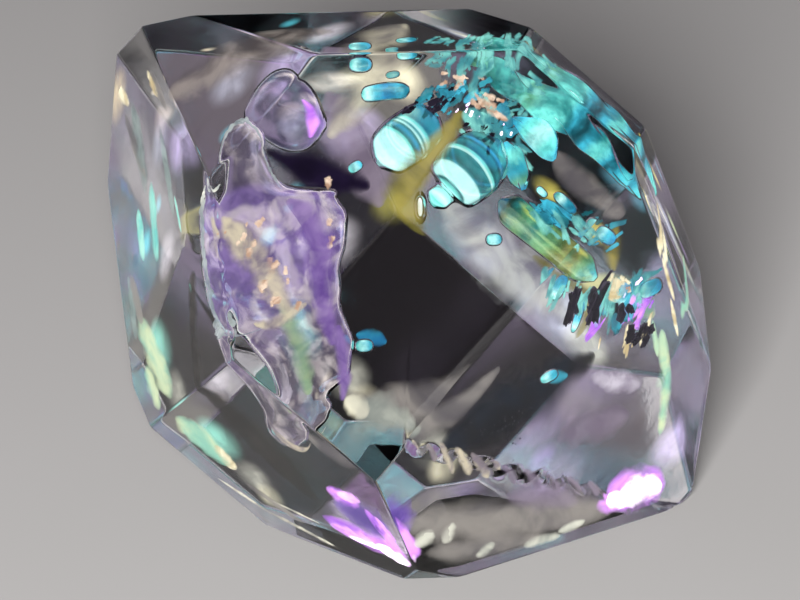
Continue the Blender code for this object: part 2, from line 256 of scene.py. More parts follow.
def crystal_corners():
    """Every point where three faces meet that no other face cuts off."""
    trios = np.array(list(itertools.combinations(range(len(NORMALS)), 3)))
    planes, reach = NORMALS[trios], DISTANCES[trios]
    crossing = np.abs(np.linalg.det(planes)) > ROOM
    points = np.linalg.solve(planes[crossing], reach[crossing][..., None])[..., 0]
    inside = (points @ NORMALS.T <= DISTANCES + ROOM).all(axis=1)
    return np.unique(np.round(points[inside], CORNER_DECIMALS), axis=0)


CORNERS = crystal_corners()
SPAN_LOW, SPAN_HIGH = CORNERS.min(axis=0), CORNERS.max(axis=0)
CENTRE = np.array([*(-(SPAN_LOW + SPAN_HIGH)[:2] / 2), -SPAN_LOW[2]])


def ledge_relief(points):
    """How far the ledge's face lies below its outermost layer: a step along a saw-tooth line."""
    across, along = points @ LEDGE_RIGHT, points @ LEDGE_UP
    part = (across - LEDGE_START[0]) / (LEDGE_END[0] - LEDGE_START[0])
    rim = LEDGE_START[1] + part * (LEDGE_END[1] - LEDGE_START[1])
    phase = np.mod(part * LEDGE_TEETH, 1.0)
    tooth = np.where(phase < TOOTH_RISE, phase / TOOTH_RISE, (1.0 - phase) / (1.0 - TOOTH_RISE))
    fade = np.clip(1.0 - TOOTH_FADE * part * LEDGE_TEETH, LEAST_TOOTH, 1.0)
    past = along - rim - TOOTH_HEIGHT * tooth * fade
    step = smooth_step(past / LEDGE_SLOPE + 0.5)
    dip = np.clip(1.0 - np.abs(past) / DIP_REACH, 0.0, 1.0) * np.where(past < 0.0, tooth, 0.0)
    return LEDGE_HEIGHT * step + TOOTH_DIP * dip * dip


def past_surface(points):
    """How far points lie outside the crystal. Faces meet in rounded edges, by the logarithm of the
    summed exponentials of the distances past each face; a chip is the inside of a ball."""
    past = points @ NORMALS.T - DISTANCES
    past[:, LEDGE_FACE] += ledge_relief(points)
    outward = unit(FRONT - RIGHT)
    balls = []
    for right, up, radius in CHIPS:
        middle = RIGHT * right + UP * up + FRONT * PRISM[FRONT_FACE] + outward * (radius - CHIP_DEPTH)
        balls.append(radius - np.linalg.norm(points - middle, axis=1))
    past = np.concatenate([past, np.stack(balls, axis=1)], axis=1)
    most = past.max(axis=1, keepdims=True)
    return most[:, 0] + np.log(np.exp(EDGE_SHARPNESS * (past - most)).sum(axis=1)) / EDGE_SHARPNESS


def on_surface(points):
    """Moves points along the line from the crystal's centre until they lie on its surface, by how fast
    the distance past the surface grows along that line."""
    ways = unit(points)
    reach = np.linalg.norm(points, axis=1)
    for _ in range(SURFACE_ROUNDS):
        gap = past_surface(ways * reach[:, None])
        nearer = past_surface(ways * (reach - SURFACE_STEP)[:, None])
        reach = reach - gap * SURFACE_STEP / np.maximum(gap - nearer, SURFACE_STEP / 2)
    return ways * reach[:, None]


def facet_rings(face):
    """One face as rings round its middle, the outermost on its edges and the next ones close to it."""
    corners = CORNERS[np.abs(CORNERS @ NORMALS[face] - DISTANCES[face]) < TOUCHING]
    middle = corners.mean(axis=0)
    sideways = unit(corners[0] - middle)
    upwards = np.cross(NORMALS[face], sideways)
    turn = np.arctan2((corners - middle) @ upwards, (corners - middle) @ sideways)
    corners = corners[np.argsort(turn)]
    rim = []
    for start, end in zip(corners, np.roll(corners, -1, axis=0)):
        steps = max(2, math.ceil(np.linalg.norm(end - start) / EDGE_STEP))
        rim.append(start + (end - start) * (np.arange(steps) / steps)[:, None])
    rim = np.concatenate(rim)
    reach = np.linalg.norm(rim - middle, axis=1).min()
    step = LEDGE_RING_STEP if face == LEDGE_FACE else RING_STEP
    inner = np.linspace(1.0 - EDGE_RINGS[-1] / reach, 0.0, max(4, math.ceil(reach / step)))[1:-1]
    scale = np.concatenate([1.0 - np.array(EDGE_RINGS) / reach, inner])
    return middle + (rim - middle) * scale[:, None, None]


def closed_body(rings, slot=0, seal_start=True, tilt=0.0):
    """Points and faces of a grid of rings: quads between rings, and a fan from each end's middle. Each
    point also has its place along the body's middle line, in millimetres, less a tilt towards the front,
    so that bands across the body curve, and a share that is 1 at the body's outline."""
    number, around = rings.shape[:2]
    line = rings.mean(axis=1)
    along = np.concatenate([[0.0], np.cumsum(np.linalg.norm(np.diff(line, axis=0), axis=1))])
    places = np.repeat(along, around) - tilt * ((rings - line[:, None]) @ FRONT).reshape(-1)
    beside = np.abs(np.cos(2 * np.pi * np.arange(around) / around))
    towards_end = np.linspace(-1.0, 1.0, number) ** 4
    edge = np.hypot(np.tile(beside, number), np.repeat(towards_end, around))
    ring, place = np.meshgrid(np.arange(number - 1), np.arange(around), indexing="ij")
    after = (place + 1) % around
    here, beyond = ring * around, (ring + 1) * around
    quads = np.stack([here + place, here + after, beyond + after, beyond + place], axis=-1).reshape(-1, 4)
    points = rings.reshape(-1, 3)
    fans = []
    ends = ((0, -1), (number - 1, 1)) if seal_start else ((number - 1, 1),)
    for end, way in ends:
        rim = end * around + np.arange(around)
        pole = np.full(around, len(points))
        points = np.concatenate([points, line[end][None]])
        places = np.append(places, along[end])
        edge = np.append(edge, 1.0)
        fans.append(np.stack([rim, np.roll(rim, -1), pole], axis=1)[:, ::way])
    return {
        "points": points, "along": places, "edge": edge,
        "quads": quads, "fans": np.concatenate(fans), "slot": slot,
    }


def facet(face):
    """One face's rings moved onto the rounded surface, open at the edges it shares with its neighbours."""
    slot = CRYSTAL_SLOTS.index("etched" if face in ETCHED_FACES else "clear")
    body = closed_body(facet_rings(face), slot, seal_start=False)
    return {**body, "points": on_surface(body["points"])}


def volume(body):
    """Six times the signed volume: positive where the faces point outwards."""
    quads, points = body["quads"], body["points"]
    triangles = np.concatenate([quads[:, :3], quads[:, [0, 2, 3]], body["fans"]])
    return np.linalg.det(points[triangles]).sum()


def facing(body, outwards=True):
    """The body with its faces pointing outwards, or inwards for a pocket's wall."""
    if (volume(body) > 0.0) != outwards:
        body = {**body, "quads": body["quads"][:, ::-1], "fans": body["fans"][:, ::-1]}
    return body


def joined(bodies):
    """Several bodies as one set of points and faces."""
    starts = np.cumsum([0] + [len(body["points"]) for body in bodies[:-1]])
    whole = {key: np.concatenate([body[key] for body in bodies]) for key in ("points", "along", "edge")}
    for key in ("quads", "fans"):
        whole[key] = np.concatenate([body[key] + start for body, start in zip(bodies, starts)])
        whole[key + "_slots"] = np.concatenate([np.full(len(body[key]), body["slot"]) for body in bodies])
    return whole


def welded(body):
    """The body with points at the same place made one."""
    places = np.round(body["points"], POINT_DECIMALS)
    _, first, index = np.unique(places, axis=0, return_index=True, return_inverse=True)
    index = index.reshape(-1)
    return {
        **body, "points": body["points"][first], "along": body["along"][first], "edge": body["edge"][first],
        "quads": index[body["quads"]], "fans": index[body["fans"]],
    }


def smooth_rows(rows, samples):
    """A Catmull-Rom curve through rows of numbers, sampled with closer steps at both ends."""
    rows = np.asarray(rows, float)
    padded = np.concatenate([rows[:1], rows, rows[-1:]])
    place = (1.0 - np.cos(np.linspace(0.0, np.pi, samples))) / 2 * (len(rows) - 1)
    start = np.minimum(place.astype(int), len(rows) - 2)
    t = (place - start)[:, None]
    a, b, c, d = (padded[start + i] for i in range(4))
    bend, twist = 2 * a - 5 * b + 4 * c - d, 3 * b - a - 3 * c + d
    return 0.5 * (2 * b + (c - a) * t + bend * t ** 2 + twist * t ** 3)


def pocket_points(right, up, lift):
    """Points on the sloping plane of the pockets, moved forwards by lift."""
    flat = np.multiply.outer(right, RIGHT) + np.multiply.outer(up, UP)
    level = PARTING - PARTING_SLOPE * (flat @ TOWARDS_LEDGE)
    return flat + np.multiply.outer(level + lift, FRONT)


def swept(middle, width, depth, around, swell=0.0, relief=None):
    """A closed body carried along a line of points: at each step an ellipse, half width across the line
    and half depth towards the front, times 1 + relief(part of the length, turn), narrowed at both ends."""
    side = unit(np.cross(middle[-1] - middle[0], FRONT))
    turns = 2 * np.pi * np.arange(around) / around
    part, turn = np.meshgrid(np.linspace(0.0, 1.0, len(middle)), turns, indexing="ij")
    bulge = 1.0 + (relief(part, turn) if relief else 0.0)
    ends = np.sqrt(np.clip(1.0 - np.abs(2 * part[:, 0] - 1.0) ** END_POWER, LEAST_END, 1.0))
    width, depth = ((np.maximum(half, THINNEST) + swell) * ends for half in (width, depth))
    across = (width[:, None] * np.cos(turn) * bulge)[..., None] * side
    deep = (depth[:, None] * np.sin(turn) * bulge)[..., None] * FRONT
    return middle[:, None] + across + deep


def lofted(stations, lift=0.0, along=80, around=48, swell=0.0, relief=None):
    """A body swept along a smooth line in the plane of the pockets, through stations."""
    rows = smooth_rows(stations, along)
    middle = pocket_points(rows[:, 0], rows[:, 1], lift)
    return swept(middle, rows[:, 2], rows[:, 3], around, swell, relief)


CAMERA_BACK = np.array([0.0, -math.cos(CAMERA_ELEVATION), math.sin(CAMERA_ELEVATION)])
CAMERA_UP = np.array([0.0, math.sin(CAMERA_ELEVATION), math.cos(CAMERA_ELEVATION)])


def seen_place(x, y, depth):
    """The point a depth inside the crystal behind where the eye's line through (x, y) enters it; x and y
    are to the right and up of the crystal's centre as the camera sees them."""
    sight = -CAMERA_BACK
    start = np.array([x, 0.0, 0.0]) + CAMERA_UP * y - sight * FAR_OFF
    slope = NORMALS @ sight
    reach = np.where(slope < 0.0, (DISTANCES - NORMALS @ start) / slope, -np.inf)
    normal = NORMALS[reach.argmax()]
    facing_share = -(sight @ normal)
    bend = math.sqrt(1.0 - (1.0 - facing_share ** 2) / QUARTZ_IOR ** 2) - facing_share / QUARTZ_IOR
    return start + sight * reach.max() + (sight / QUARTZ_IOR - normal * bend) * depth


def kept_inside(body):
    """The body pressed flat where it would come nearer than a margin to any face of the crystal."""
    points = body["points"]
    for _ in range(PRESS_ROUNDS):
        for normal, distance in zip(NORMALS, DISTANCES):
            past = np.maximum(points @ normal - (distance - INNER_MARGIN), 0.0)
            points = points - past[:, None] * normal
    return {**body, "points": points}


def body_inside(rings):
    """A closed body that keeps its margin from the crystal's faces."""
    return kept_inside(facing(closed_body(rings)))


def stroke(x0, y0, x1, y1, half, depth, relief=None):
    """A short soft-ended body between two places that the camera sees, widest in the middle: its half
    width is the sine of a half turn along it, raised to a power under one, and it is half as deep."""
    start, end = seen_place(x0, y0, depth), seen_place(x1, y1, depth)
    part = np.linspace(0.0, 1.0, STROKE_STEPS)
    middle = start + (end - start) * part[:, None]
    turn = np.pi * (STROKE_END + (1.0 - 2 * STROKE_END) * part)
    width = half * np.sin(turn) ** STROKE_POWER
    return swept(middle, width, 0.5 * width, STROKE_STEPS, relief=relief)


def rounded(middle, axes, half, swell=0.0, along=28, around=24):
    """An ellipsoid drawn out towards a box: its sines and cosines are raised to a power under one."""
    lean, turn = np.meshgrid(
        np.linspace(0.0, np.pi, along)[1:-1], 2 * np.pi * np.arange(around) / around, indexing="ij"
    )
    length, width, depth = (side + swell for side in half)
    far = length * np.sign(np.cos(lean)) * np.abs(np.cos(lean)) ** BOX_POWER
    ring = np.sin(lean) ** BOX_POWER
    return (
        middle + far[..., None] * axes[0]
        + (width * ring * np.cos(turn))[..., None] * axes[1]
        + (depth * ring * np.sin(turn))[..., None] * axes[2]
    )


def droplet(name, swell=0.0):
    """A rounded body in the place of a small pocket: its three axes are those of the pocket's points."""
    points = np.array([corner.co[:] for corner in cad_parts[name].data.vertices]) / MM - CENTRE
    middle = (points.max(axis=0) + points.min(axis=0)) / 2
    _, axes = np.linalg.eigh(np.cov(np.unique(points.round(POINT_DECIMALS), axis=0).T))
    axes = axes[:, ::-1].T
    half = [np.abs((points - middle) @ axis).max() for axis in axes]
    return rounded(middle, axes, half, swell)


def place_object(name, data):
    """A new object in the scene."""
    made = bpy.data.objects.new(name, data)
    bpy.context.collection.objects.link(made)
    return made


def add_piece(name, bodies, finishes, nodes=()):
    """One object in metres from bodies in millimetres; it rides on the crystal's body."""
    whole = welded(joined(bodies))
    places = ((whole["points"] + CENTRE) * MM).tolist()
    mesh = bpy.data.meshes.new(name)
    mesh.from_pydata(places, [], whole["quads"].tolist() + whole["fans"].tolist())
    slots = np.concatenate([whole["quads_slots"], whole["fans_slots"]])
    mesh.polygons.foreach_set("material_index", slots)
    for label in ("along", "edge"):
        mesh.attributes.new(label, "FLOAT", "POINT").data.foreach_set("value", whole[label])
    mesh.shade_smooth()
    piece = place_object(name, mesh)
    for finish in finishes:
        mesh.materials.append(finish)
    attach(piece, "root")
    if nodes:
        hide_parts(*nodes)
    return piece


# ---- node helpers: a source is a node's output or a plain value ----
def feed(tree, inlet, source):
    """Links a node's output into an inlet, or sets a plain value there."""
    if hasattr(source, "node"):
        tree.links.new(source, inlet)
    else:
        inlet.default_value = (*source, 1.0) if inlet.type == "RGBA" else source


def add_node(tree, kind, settings=(), sources=()):
    """A node with its settings and what its inputs take."""
    made = tree.nodes.new(kind)
    for key, value in dict(settings).items():
        setattr(made, key, value)
    for key, source in dict(sources).items():
        feed(tree, made.inputs[key], source)
    return made


def math_node(tree, operation, *sources):
    """The result of a Math node."""
    return add_node(tree, "ShaderNodeMath", {"operation": operation}, enumerate(sources)).outputs[0]


def vector_math_node(tree, operation, *sources):
    """The number that a Vector Math node gives."""
    made = add_node(tree, "ShaderNodeVectorMath", {"operation": operation}, enumerate(sources))
    return made.outputs["Value"]


def soft_step(tree, source, low, high):
    """0 where the source is under low, 1 over high, smooth between; low may be the larger."""
    edges = {"Value": source, "From Min": low, "From Max": high}
    return add_node(tree, "ShaderNodeMapRange", {"interpolation_type": "SMOOTHSTEP"}, edges).outputs["Result"]


def between(tree, share, low, high):
    """Low where the share is 0, high where it is 1."""
    made = add_node(tree, "ShaderNodeMapRange", sources={"Value": share, "To Min": low, "To Max": high})
    return made.outputs["Result"]


def mixed(tree, share, first, second, blend="MIX"):
    """One colour mixed into another by a share."""
    settings = {"data_type": "RGBA", "blend_type": blend}
    return add_node(tree, "ShaderNodeMix", settings, {0: share, 6: first, 7: second}).outputs[2]


def noise(tree, where, scale, **others):
    """Noise over the object, 0 to 1; the other inputs are given by name."""
    sources = {"Vector": where, "Scale": scale, **others}
    return add_node(tree, "ShaderNodeTexNoise", sources=sources).outputs[0]


def object_place(tree):
    """The place on the object, in metres."""
    return add_node(tree, "ShaderNodeTexCoord").outputs["Object"]


def point_value(tree, name):
    """A value that each point of the mesh carries."""
    return add_node(tree, "ShaderNodeAttribute", {"attribute_name": name}).outputs["Fac"]


# ---- shared effects ----
SOCKET_KINDS = {1: "NodeSocketFloat", 3: "NodeSocketVector", 4: "NodeSocketColor"}


def make_group(name, result, kind=SOCKET_KINDS[1], **inputs):
    """A shader node group with one result and named inputs, whose kinds follow from their values."""
    group = bpy.data.node_groups.new(name, "ShaderNodeTree")
    for label, value in inputs.items():
        inlet = group.interface.new_socket(label, in_out="INPUT", socket_type=SOCKET_KINDS[np.size(value)])
        inlet.default_value = value
    group.interface.new_socket(result, in_out="OUTPUT", socket_type=kind)
    return group, group.nodes.new("NodeGroupInput").outputs, group.nodes.new("NodeGroupOutput").inputs[0]


def use_group(tree, group, sources):
    """One use of a shared effect."""
    return add_node(tree, "ShaderNodeGroup", {"node_tree": group}, sources).outputs[0]


def cloud_group():
    """Soft drifting shade through the object: 0 to 1."""
    group, given, result = make_group("drifting_cloud", "Share", Scale=800.0, Low=0.4, High=0.6, Swirl=0.4)
    drift = noise(group, object_place(group), given["Scale"], Detail=4.0, Distortion=given["Swirl"])
    feed(group, result, soft_step(group, drift, given["Low"], given["High"]))
    return group


def ribs_group():
    """The place along a body in millimetres, with a wobble so that bands across it are uneven."""
    group, given, result = make_group("place_along", "Along", Wobble=0.06, Scale=1500.0)
    along = point_value(group, "along")
    waver = noise(group, object_place(group), given["Scale"], Detail=2.0)
    shift = math_node(group, "SUBTRACT", waver, 0.5)
    feed(group, result, math_node(group, "MULTIPLY_ADD", shift, given["Wobble"], along))
    return group


def glow_patch_group():
    """Adds a soft round patch of a colour, about a centre, to the colour under it."""
    group, given, result = make_group(
        "glow_patch", "Colour", SOCKET_KINDS[4],
        Centre=(0.0, 0.0, 0.0), Reach=0.001, Glow=(1.0, 1.0, 1.0, 1.0), Under=(0.0, 0.0, 0.0, 1.0),
    )
    far = vector_math_node(group, "DISTANCE", object_place(group), given["Centre"])
    fade = soft_step(group, math_node(group, "DIVIDE", far, given["Reach"]), 1.0, 0.2)
    feed(group, result, mixed(group, fade, given["Under"], given["Glow"], "ADD"))
    return group


def growth_group():
    """Fine parallel growth lines, broken up and of uneven strength: 0 to 1."""
    group, given, result = make_group("growth_lines", "Height", Way=(0.0, 0.0, 1.0), Scale=4200.0)
    place = object_place(group)
    across = vector_math_node(group, "DOT_PRODUCT", place, given["Way"])
    warp = noise(group, place, 500.0)
    shift = math_node(group, "MULTIPLY_ADD", warp, GROWTH_WAVER, across)
    lines = add_node(group, "ShaderNodeTexNoise", {"noise_dimensions": "1D"}, {
        "W": shift, "Scale": given["Scale"], "Detail": 1.0,
    })
    patchy = soft_step(group, warp, 0.48, 0.66)
    feed(group, result, math_node(group, "MULTIPLY", lines.outputs[0], patchy))
    return group


CLOUD, RIBS, GLOW_PATCH, GROWTH = cloud_group(), ribs_group(), glow_patch_group(), growth_group()


def cloud(tree, scale, low=0.4, high=0.6, swirl=0.4):
    """A share from drifting clouds: a finer scale is a larger number, and low to high is their edge."""
    return use_group(tree, CLOUD, {"Scale": scale, "Low": low, "High": high, "Swirl": swirl})


def two_clouds(tree, soft, soft_tone, fine, fine_tone):
    """Two layers of cloud multiplied; each goes from its tone to white."""
    shade, grit = mixed(tree, soft, soft_tone, WHITE), mixed(tree, fine, fine_tone, WHITE)
    return mixed(tree, 1.0, shade, grit, "MULTIPLY")


def rim_share(tree, low=0.35, high=0.85, blend=0.4):
    """0 facing the eye, 1 at a body's outline: the mask of the painted shade or highlight at outlines, and of
    the hazes' fading.
    """
    weight = add_node(tree, "ShaderNodeLayerWeight", sources={"Blend": blend})
    return soft_step(tree, weight.outputs["Facing"], low, high)


def bands(tree, stops, wobble, scale):
    """Colours along a body: each stop is a place in millimetres and a colour, in order."""
    first, *between_ends, last = stops
    length = last[0]
    along = use_group(tree, RIBS, {"Wobble": wobble, "Scale": scale})
    made = add_node(tree, "ShaderNodeValToRGB", sources={"Fac": math_node(tree, "DIVIDE", along, length)})
    made.color_ramp.interpolation = "EASE"
    elements = made.color_ramp.elements
    for place, colour in between_ends:
        elements.new(place / length).color = (*colour, 1.0)
    for element, (place, colour) in zip((elements[0], elements[-1]), (first, last)):
        element.position = place / length
        element.color = (*colour, 1.0)
    return made.outputs["Color"]


# ---- finishes ----
def new_finish(name, tint, transmission, ior, roughness=0.0):
    """A material whose Principled shader has these plain values, with its node tree."""
    made = bpy.data.materials.new(name)
    made.use_nodes = True
    shader = made.node_tree.nodes["Principled BSDF"]
    plain = {"Base Color": tint, "Transmission Weight": transmission, "IOR": ior, "Roughness": roughness}
    for key, value in plain.items():
        feed(made.node_tree, shader.inputs[key], value)
    return made, made.node_tree, shader


def add_glow(tree, shader, colour, strength=1.0):
    """The light that a finish gives off by itself."""
    feed(tree, shader.inputs["Emission Color"], colour)
    shader.inputs["Emission Strength"].default_value = strength


def add_bump(tree, shader, height, depth, strength=0.5):
    """Relief in the surface's normal; the depth is in millimetres."""
    sources = {"Height": height, "Distance": depth * MM, "Strength": strength}
    feed(tree, shader.inputs["Normal"], add_node(tree, "ShaderNodeBump", sources=sources).outputs["Normal"])


def add_absorption(tree):
    """The crystal's faint lilac body colour."""
    body = add_node(tree, "ShaderNodeVolumeAbsorption", sources={"Color": BODY_TINT, "Density": BODY_DENSITY})
    tree.links.new(body.outputs[0], tree.nodes["Material Output"].inputs["Volume"])


def clear_quartz():
    """Faces towards the front: glassy, with faint growth lines."""
    made, tree, shader = new_finish("clear_quartz", WHITE, 1.0, QUARTZ_IOR)
    lines = use_group(tree, GROWTH, {"Way": tuple(GROWTH_WAY), "Scale": 3600.0})
    add_bump(tree, shader, lines, 0.004, 0.35)
    add_absorption(tree)
    return made


def etched_quartz():
    """Faces turned away: lightly etched, with soft patches of painted light glowing in them, in place of the
    coloured light seen through these faces. A mirror image of the patches is much fainter than the patches."""
    made, tree, shader = new_finish("etched_quartz", WHITE, 1.0, QUARTZ_IOR)
    feed(tree, shader.inputs["Roughness"], between(tree, cloud(tree, 700.0, 0.35, 0.7), *ETCHED_ROUGHNESS))
    colour = BLACK
    for _, place, reach, glow in PAINTED_LIGHT_PATCHES:
        centre = tuple(side * MM for side in place)
        patch = {"Centre": centre, "Reach": reach * MM, "Glow": glow, "Under": colour}
        colour = use_group(tree, GLOW_PATCH, patch)
    streaks = mixed(tree, cloud(tree, 1300.0, 0.3, 0.68), BLACK, WHITE)
    colour = mixed(tree, STREAKED_SHARE, colour, streaks, "MULTIPLY")
    rays = add_node(tree, "ShaderNodeLightPath").outputs
    straight = math_node(tree, "MAXIMUM", rays["Is Camera Ray"], rays["Is Transmission Ray"])
    add_glow(tree, shader, mixed(tree, straight, mixed(tree, MIRRORED_LOSS, colour, BLACK), colour))
    add_bump(tree, shader, cloud(tree, 2400.0, 0.3, 0.7), 0.012, 0.1)
    add_absorption(tree)
    return made


def pocket_wall(name, ior):
    """The crystal's own surface inside a pocket, with the fluid's refraction taken off."""
    made, tree, shader = new_finish(name, WHITE, 1.0, ior)
    add_bump(tree, shader, cloud(tree, 1800.0, 0.3, 0.7), 0.02, 0.35)
    return made


def oil(name, stops, rim, wobble=0.12, patchy=0.5, transmission=0.5, scale=1500.0, tint=OIL_TINT):
    """Glowing oil: bands of colour along its body, broken by clouds, and another colour at the outline, which
    is painted shade: a dark edge in place of the darkening at a pocket's wall.
    """
    made, tree, shader = new_finish(name, tint, transmission, FILLING_IOR, FILLING_ROUGHNESS)
    soft, fine = cloud(tree, scale, 0.38, 0.6, 0.8), cloud(tree, 4 * scale, 0.35, 0.6, 0.5)
    shade = two_clouds(tree, soft, OIL_SHADE, fine, OIL_GRIT)
    colour = mixed(tree, patchy, bands(tree, stops, wobble, scale), shade, "MULTIPLY")
    add_glow(tree, shader, mixed(tree, rim_share(tree), colour, rim))
    add_bump(tree, shader, cloud(tree, 2 * scale, 0.3, 0.7), 0.02, 0.4)
    return made


def fluid(name, stops, rim, veil, veil_share, transmission=0.8):
    """Milky fluid: a clear body colour along it, drifting veils of another, and a bright outline, which is a
    painted highlight.
    """
    made, tree, shader = new_finish(name, MILK_TINT, transmission, FILLING_IOR, FILLING_ROUGHNESS)
    soft, fine = cloud(tree, 900.0, 0.38, 0.62, 1.2), cloud(tree, 5000.0, 0.35, 0.6, 0.5)
    shade = two_clouds(tree, soft, MILK_SHADE, fine, MILK_GRIT)
    colour = mixed(tree, 0.85, bands(tree, stops, 0.5, 900.0), shade, "MULTIPLY")
    veils = math_node(tree, "MULTIPLY", cloud(tree, 1250.0, 0.5, 0.66, 1.0), veil_share)
    colour = mixed(tree, veils, colour, veil)
    add_glow(tree, shader, mixed(tree, rim_share(tree, 0.55, 0.97), colour, rim))
    add_bump(tree, shader, cloud(tree, 1400.0, 0.3, 0.7), 0.04, 0.5)
    return made


def haze(name, colour, second, scale, cover):
    """A soft cloud of glow with no edge: its cover fades out towards its outline."""
    made, tree, shader = new_finish(name, BLACK, 0.0, FILLING_IOR, roughness=1.0)
    add_glow(tree, shader, mixed(tree, cloud(tree, scale, 0.35, 0.65, 1.0), colour, second))
    ragged = math_node(tree, "MULTIPLY_ADD", cloud(tree, 1.6 * scale, 0.3, 0.7, 0.8), 0.4, -0.2)
    fade = soft_step(tree, math_node(tree, "ADD", point_value(tree, "edge"), ragged), 0.95, 0.1)
    share = math_node(tree, "MULTIPLY", fade, rim_share(tree, 0.85, 0.25, 0.5))
    feed(tree, shader.inputs["Alpha"], math_node(tree, "MULTIPLY", share, cover))
    return made


def fleck(name, colour, second, rim, transmission=0.5, scale=2600.0, tint=FLECK_TINT):
    """Small bright or dark grains: two tones in clouds, with a darker or lighter outline, which is painted
    shade or a painted highlight at the grain's edge.
    """
    made, tree, shader = new_finish(name, tint, transmission, FILLING_IOR, FLECK_ROUGHNESS)
    tones = mixed(tree, point_value(tree, "along"), colour, second)
    shade = mixed(tree, cloud(tree, scale, 0.35, 0.65, 0.6), FLECK_SHADE, WHITE)
    tones = mixed(tree, 0.8, tones, shade, "MULTIPLY")
    add_glow(tree, shader, mixed(tree, rim_share(tree, 0.2, 0.8), tones, rim))
    return made


def gas_finish():
    """Gas: a painted highlight, pale aqua to white, in the middle, and a dark outline of painted shade."""
    made, tree, shader = new_finish("gas", GAS_TINT, 0.2, FILLING_IOR)
    light = mixed(tree, cloud(tree, 3000.0, 0.3, 0.7), PALE_AQUA, WHITE)
    add_glow(tree, shader, mixed(tree, rim_share(tree, 0.12, 0.26), light, BLACK), 1.4)
    return made


# Soft patches of painted light on the etched faces, in place of the coloured light seen through them: what it
# is, place (world mm), reach (mm), colour.
PAINTED_LIGHT_PATCHES = (
    ("aqua, low behind the tall cavity", (-2.1, 3.9, 1.6), 0.75, (0.4, 1.0, 0.8)),
    ("grey-cream under the dark window", (-1.4, 3.6, 0.8), 0.55, (0.6, 0.6, 0.5)),
    ("cream under the dark window", (-1.1, 3.4, 0.35), 0.45, (0.9, 0.85, 0.6)),
    ("cyan streak, left", (-2.4, 3.6, 5.0), 0.3, (0.1, 0.6, 0.7)),
    ("cyan streak, far left", (-3.1, 3.3, 4.2), 0.45, (0.1, 0.55, 0.62)),
    ("gold, upper left", (-5.5, 1.5, 8.1), 0.8, (0.7, 0.55, 0.25)),
    ("cream glint, upper left", (-3.3, 2.6, 7.9), 0.22, (0.8, 0.7, 0.5)),
    ("olive beside the barrels", (-0.5, 4.8, 4.2), 0.6, (0.3, 0.28, 0.06)),
    ("olive behind the barrels", (0.3, 3.3, 6.1), 0.7, (0.22, 0.2, 0.05)),
    ("yellow beside the channel", (2.7, 1.6, 6.0), 0.5, (0.8, 0.7, 0.15)),
    ("yellow under the channel", (1.2, 3.9, 3.9), 0.6, (0.42, 0.38, 0.08)),
    ("gold at the top", (-0.6, 2.7, 8.0), 1.1, (1.5, 1.4, 0.95)),
    ("pale, top middle", (-1.7, 4.3, 3.6), 0.75, (0.7, 0.66, 0.7)),
    ("lilac beside the bell", (-1.2, 4.2, 6.3), 1.0, (0.5, 0.42, 0.68)),
    ("grey behind the bell", (-2.5, 3.5, 6.5), 0.8, (0.36, 0.38, 0.46)),
    ("brown, top left", (-2.5, 3.4, 7.1), 0.7, (0.42, 0.35, 0.3)),
    ("lilac under the barrels", (1.4, 3.8, 3.7), 1.2, (0.6, 0.64, 0.8)),
    ("cream right of the window", (2.1, 3.7, 2.8), 0.9, (0.75, 0.78, 0.6)),
    ("blue, upper right", (4.0, 0.2, 7.0), 0.45, (0.14, 0.4, 0.52)),
    ("green behind the right cluster", (2.7, 2.5, 4.4), 0.6, (0.7, 0.85, 0.45)),
    ("lilac, lower right", (2.0, 1.9, 0.2), 0.9, (0.2, 0.16, 0.25)),
    ("lilac, bottom right", (2.8, -0.6, 0.0), 0.8, (0.4, 0.32, 0.5)),
    ("violet, lower left", (1.4, 2.6, 0.5), 0.5, (0.2, 0.12, 0.32)),
    ("green, right edge", (4.3, 2.4, 2.1), 0.3, (0.2, 0.5, 0.25)),
    ("grey under the dark window", (-0.3, 2.9, 0.0), 0.8, (0.1, 0.09, 0.1)),
    ("lilac behind the right cluster", (3.1, 2.4, 3.8), 0.6, (0.26, 0.18, 0.36)),
    ("beige between the bell and the top", (-1.6, 2.75, 7.85), 0.75, (0.8, 0.72, 0.62)),
    ("lilac at the right edge", (4.95, 0.7, 1.0), 0.8, (0.6, 0.48, 0.8)),
)

# In the order of the crystal's slots.
crystal_finishes = [
    clear_quartz(),
    etched_quartz(),
    pocket_wall("quartz_against_oil", OIL_WALL_IOR),
    pocket_wall("quartz_against_fluid", FLUID_WALL_IOR),
    pocket_wall("quartz_against_gas", QUARTZ_IOR),
    pocket_wall("quartz_against_faint_fluid", FAINT_WALL_IOR),
]

upper_barrel_oil = oil("upper_barrel_oil", (
    (0.0, PALE_AQUA), (0.42, PALE_AQUA), (0.47, AQUA), (0.51, INK), (0.6, BLUE), (0.66, DEEP_TEAL),
    (0.7, PALE_AQUA), (0.75, TEAL), (0.8, PALE_AQUA), (0.85, AQUA), (0.92, DEEP_TEAL), (1.05, TEAL),
    (1.6, BLUE),
), INK, wobble=0.05, patchy=0.25)
lower_barrel_oil = oil("lower_barrel_oil", (
    (0.0, AQUA), (0.12, PALE_AQUA), (0.2, AQUA), (0.25, DEEP_TEAL), (0.29, PALE_AQUA), (0.54, PALE_AQUA),
    (0.59, TEAL), (0.63, DEEP_TEAL), (0.84, TEAL), (0.88, PALE_AQUA), (0.94, AQUA), (0.99, DEEP_TEAL),
    (1.12, TEAL), (1.17, INK), (1.24, BLUE), (1.3, INK), (1.45, TEAL), (1.55, INK), (1.7, BLUE), (2.0, CYAN),
), INK, wobble=0.04, patchy=0.2)
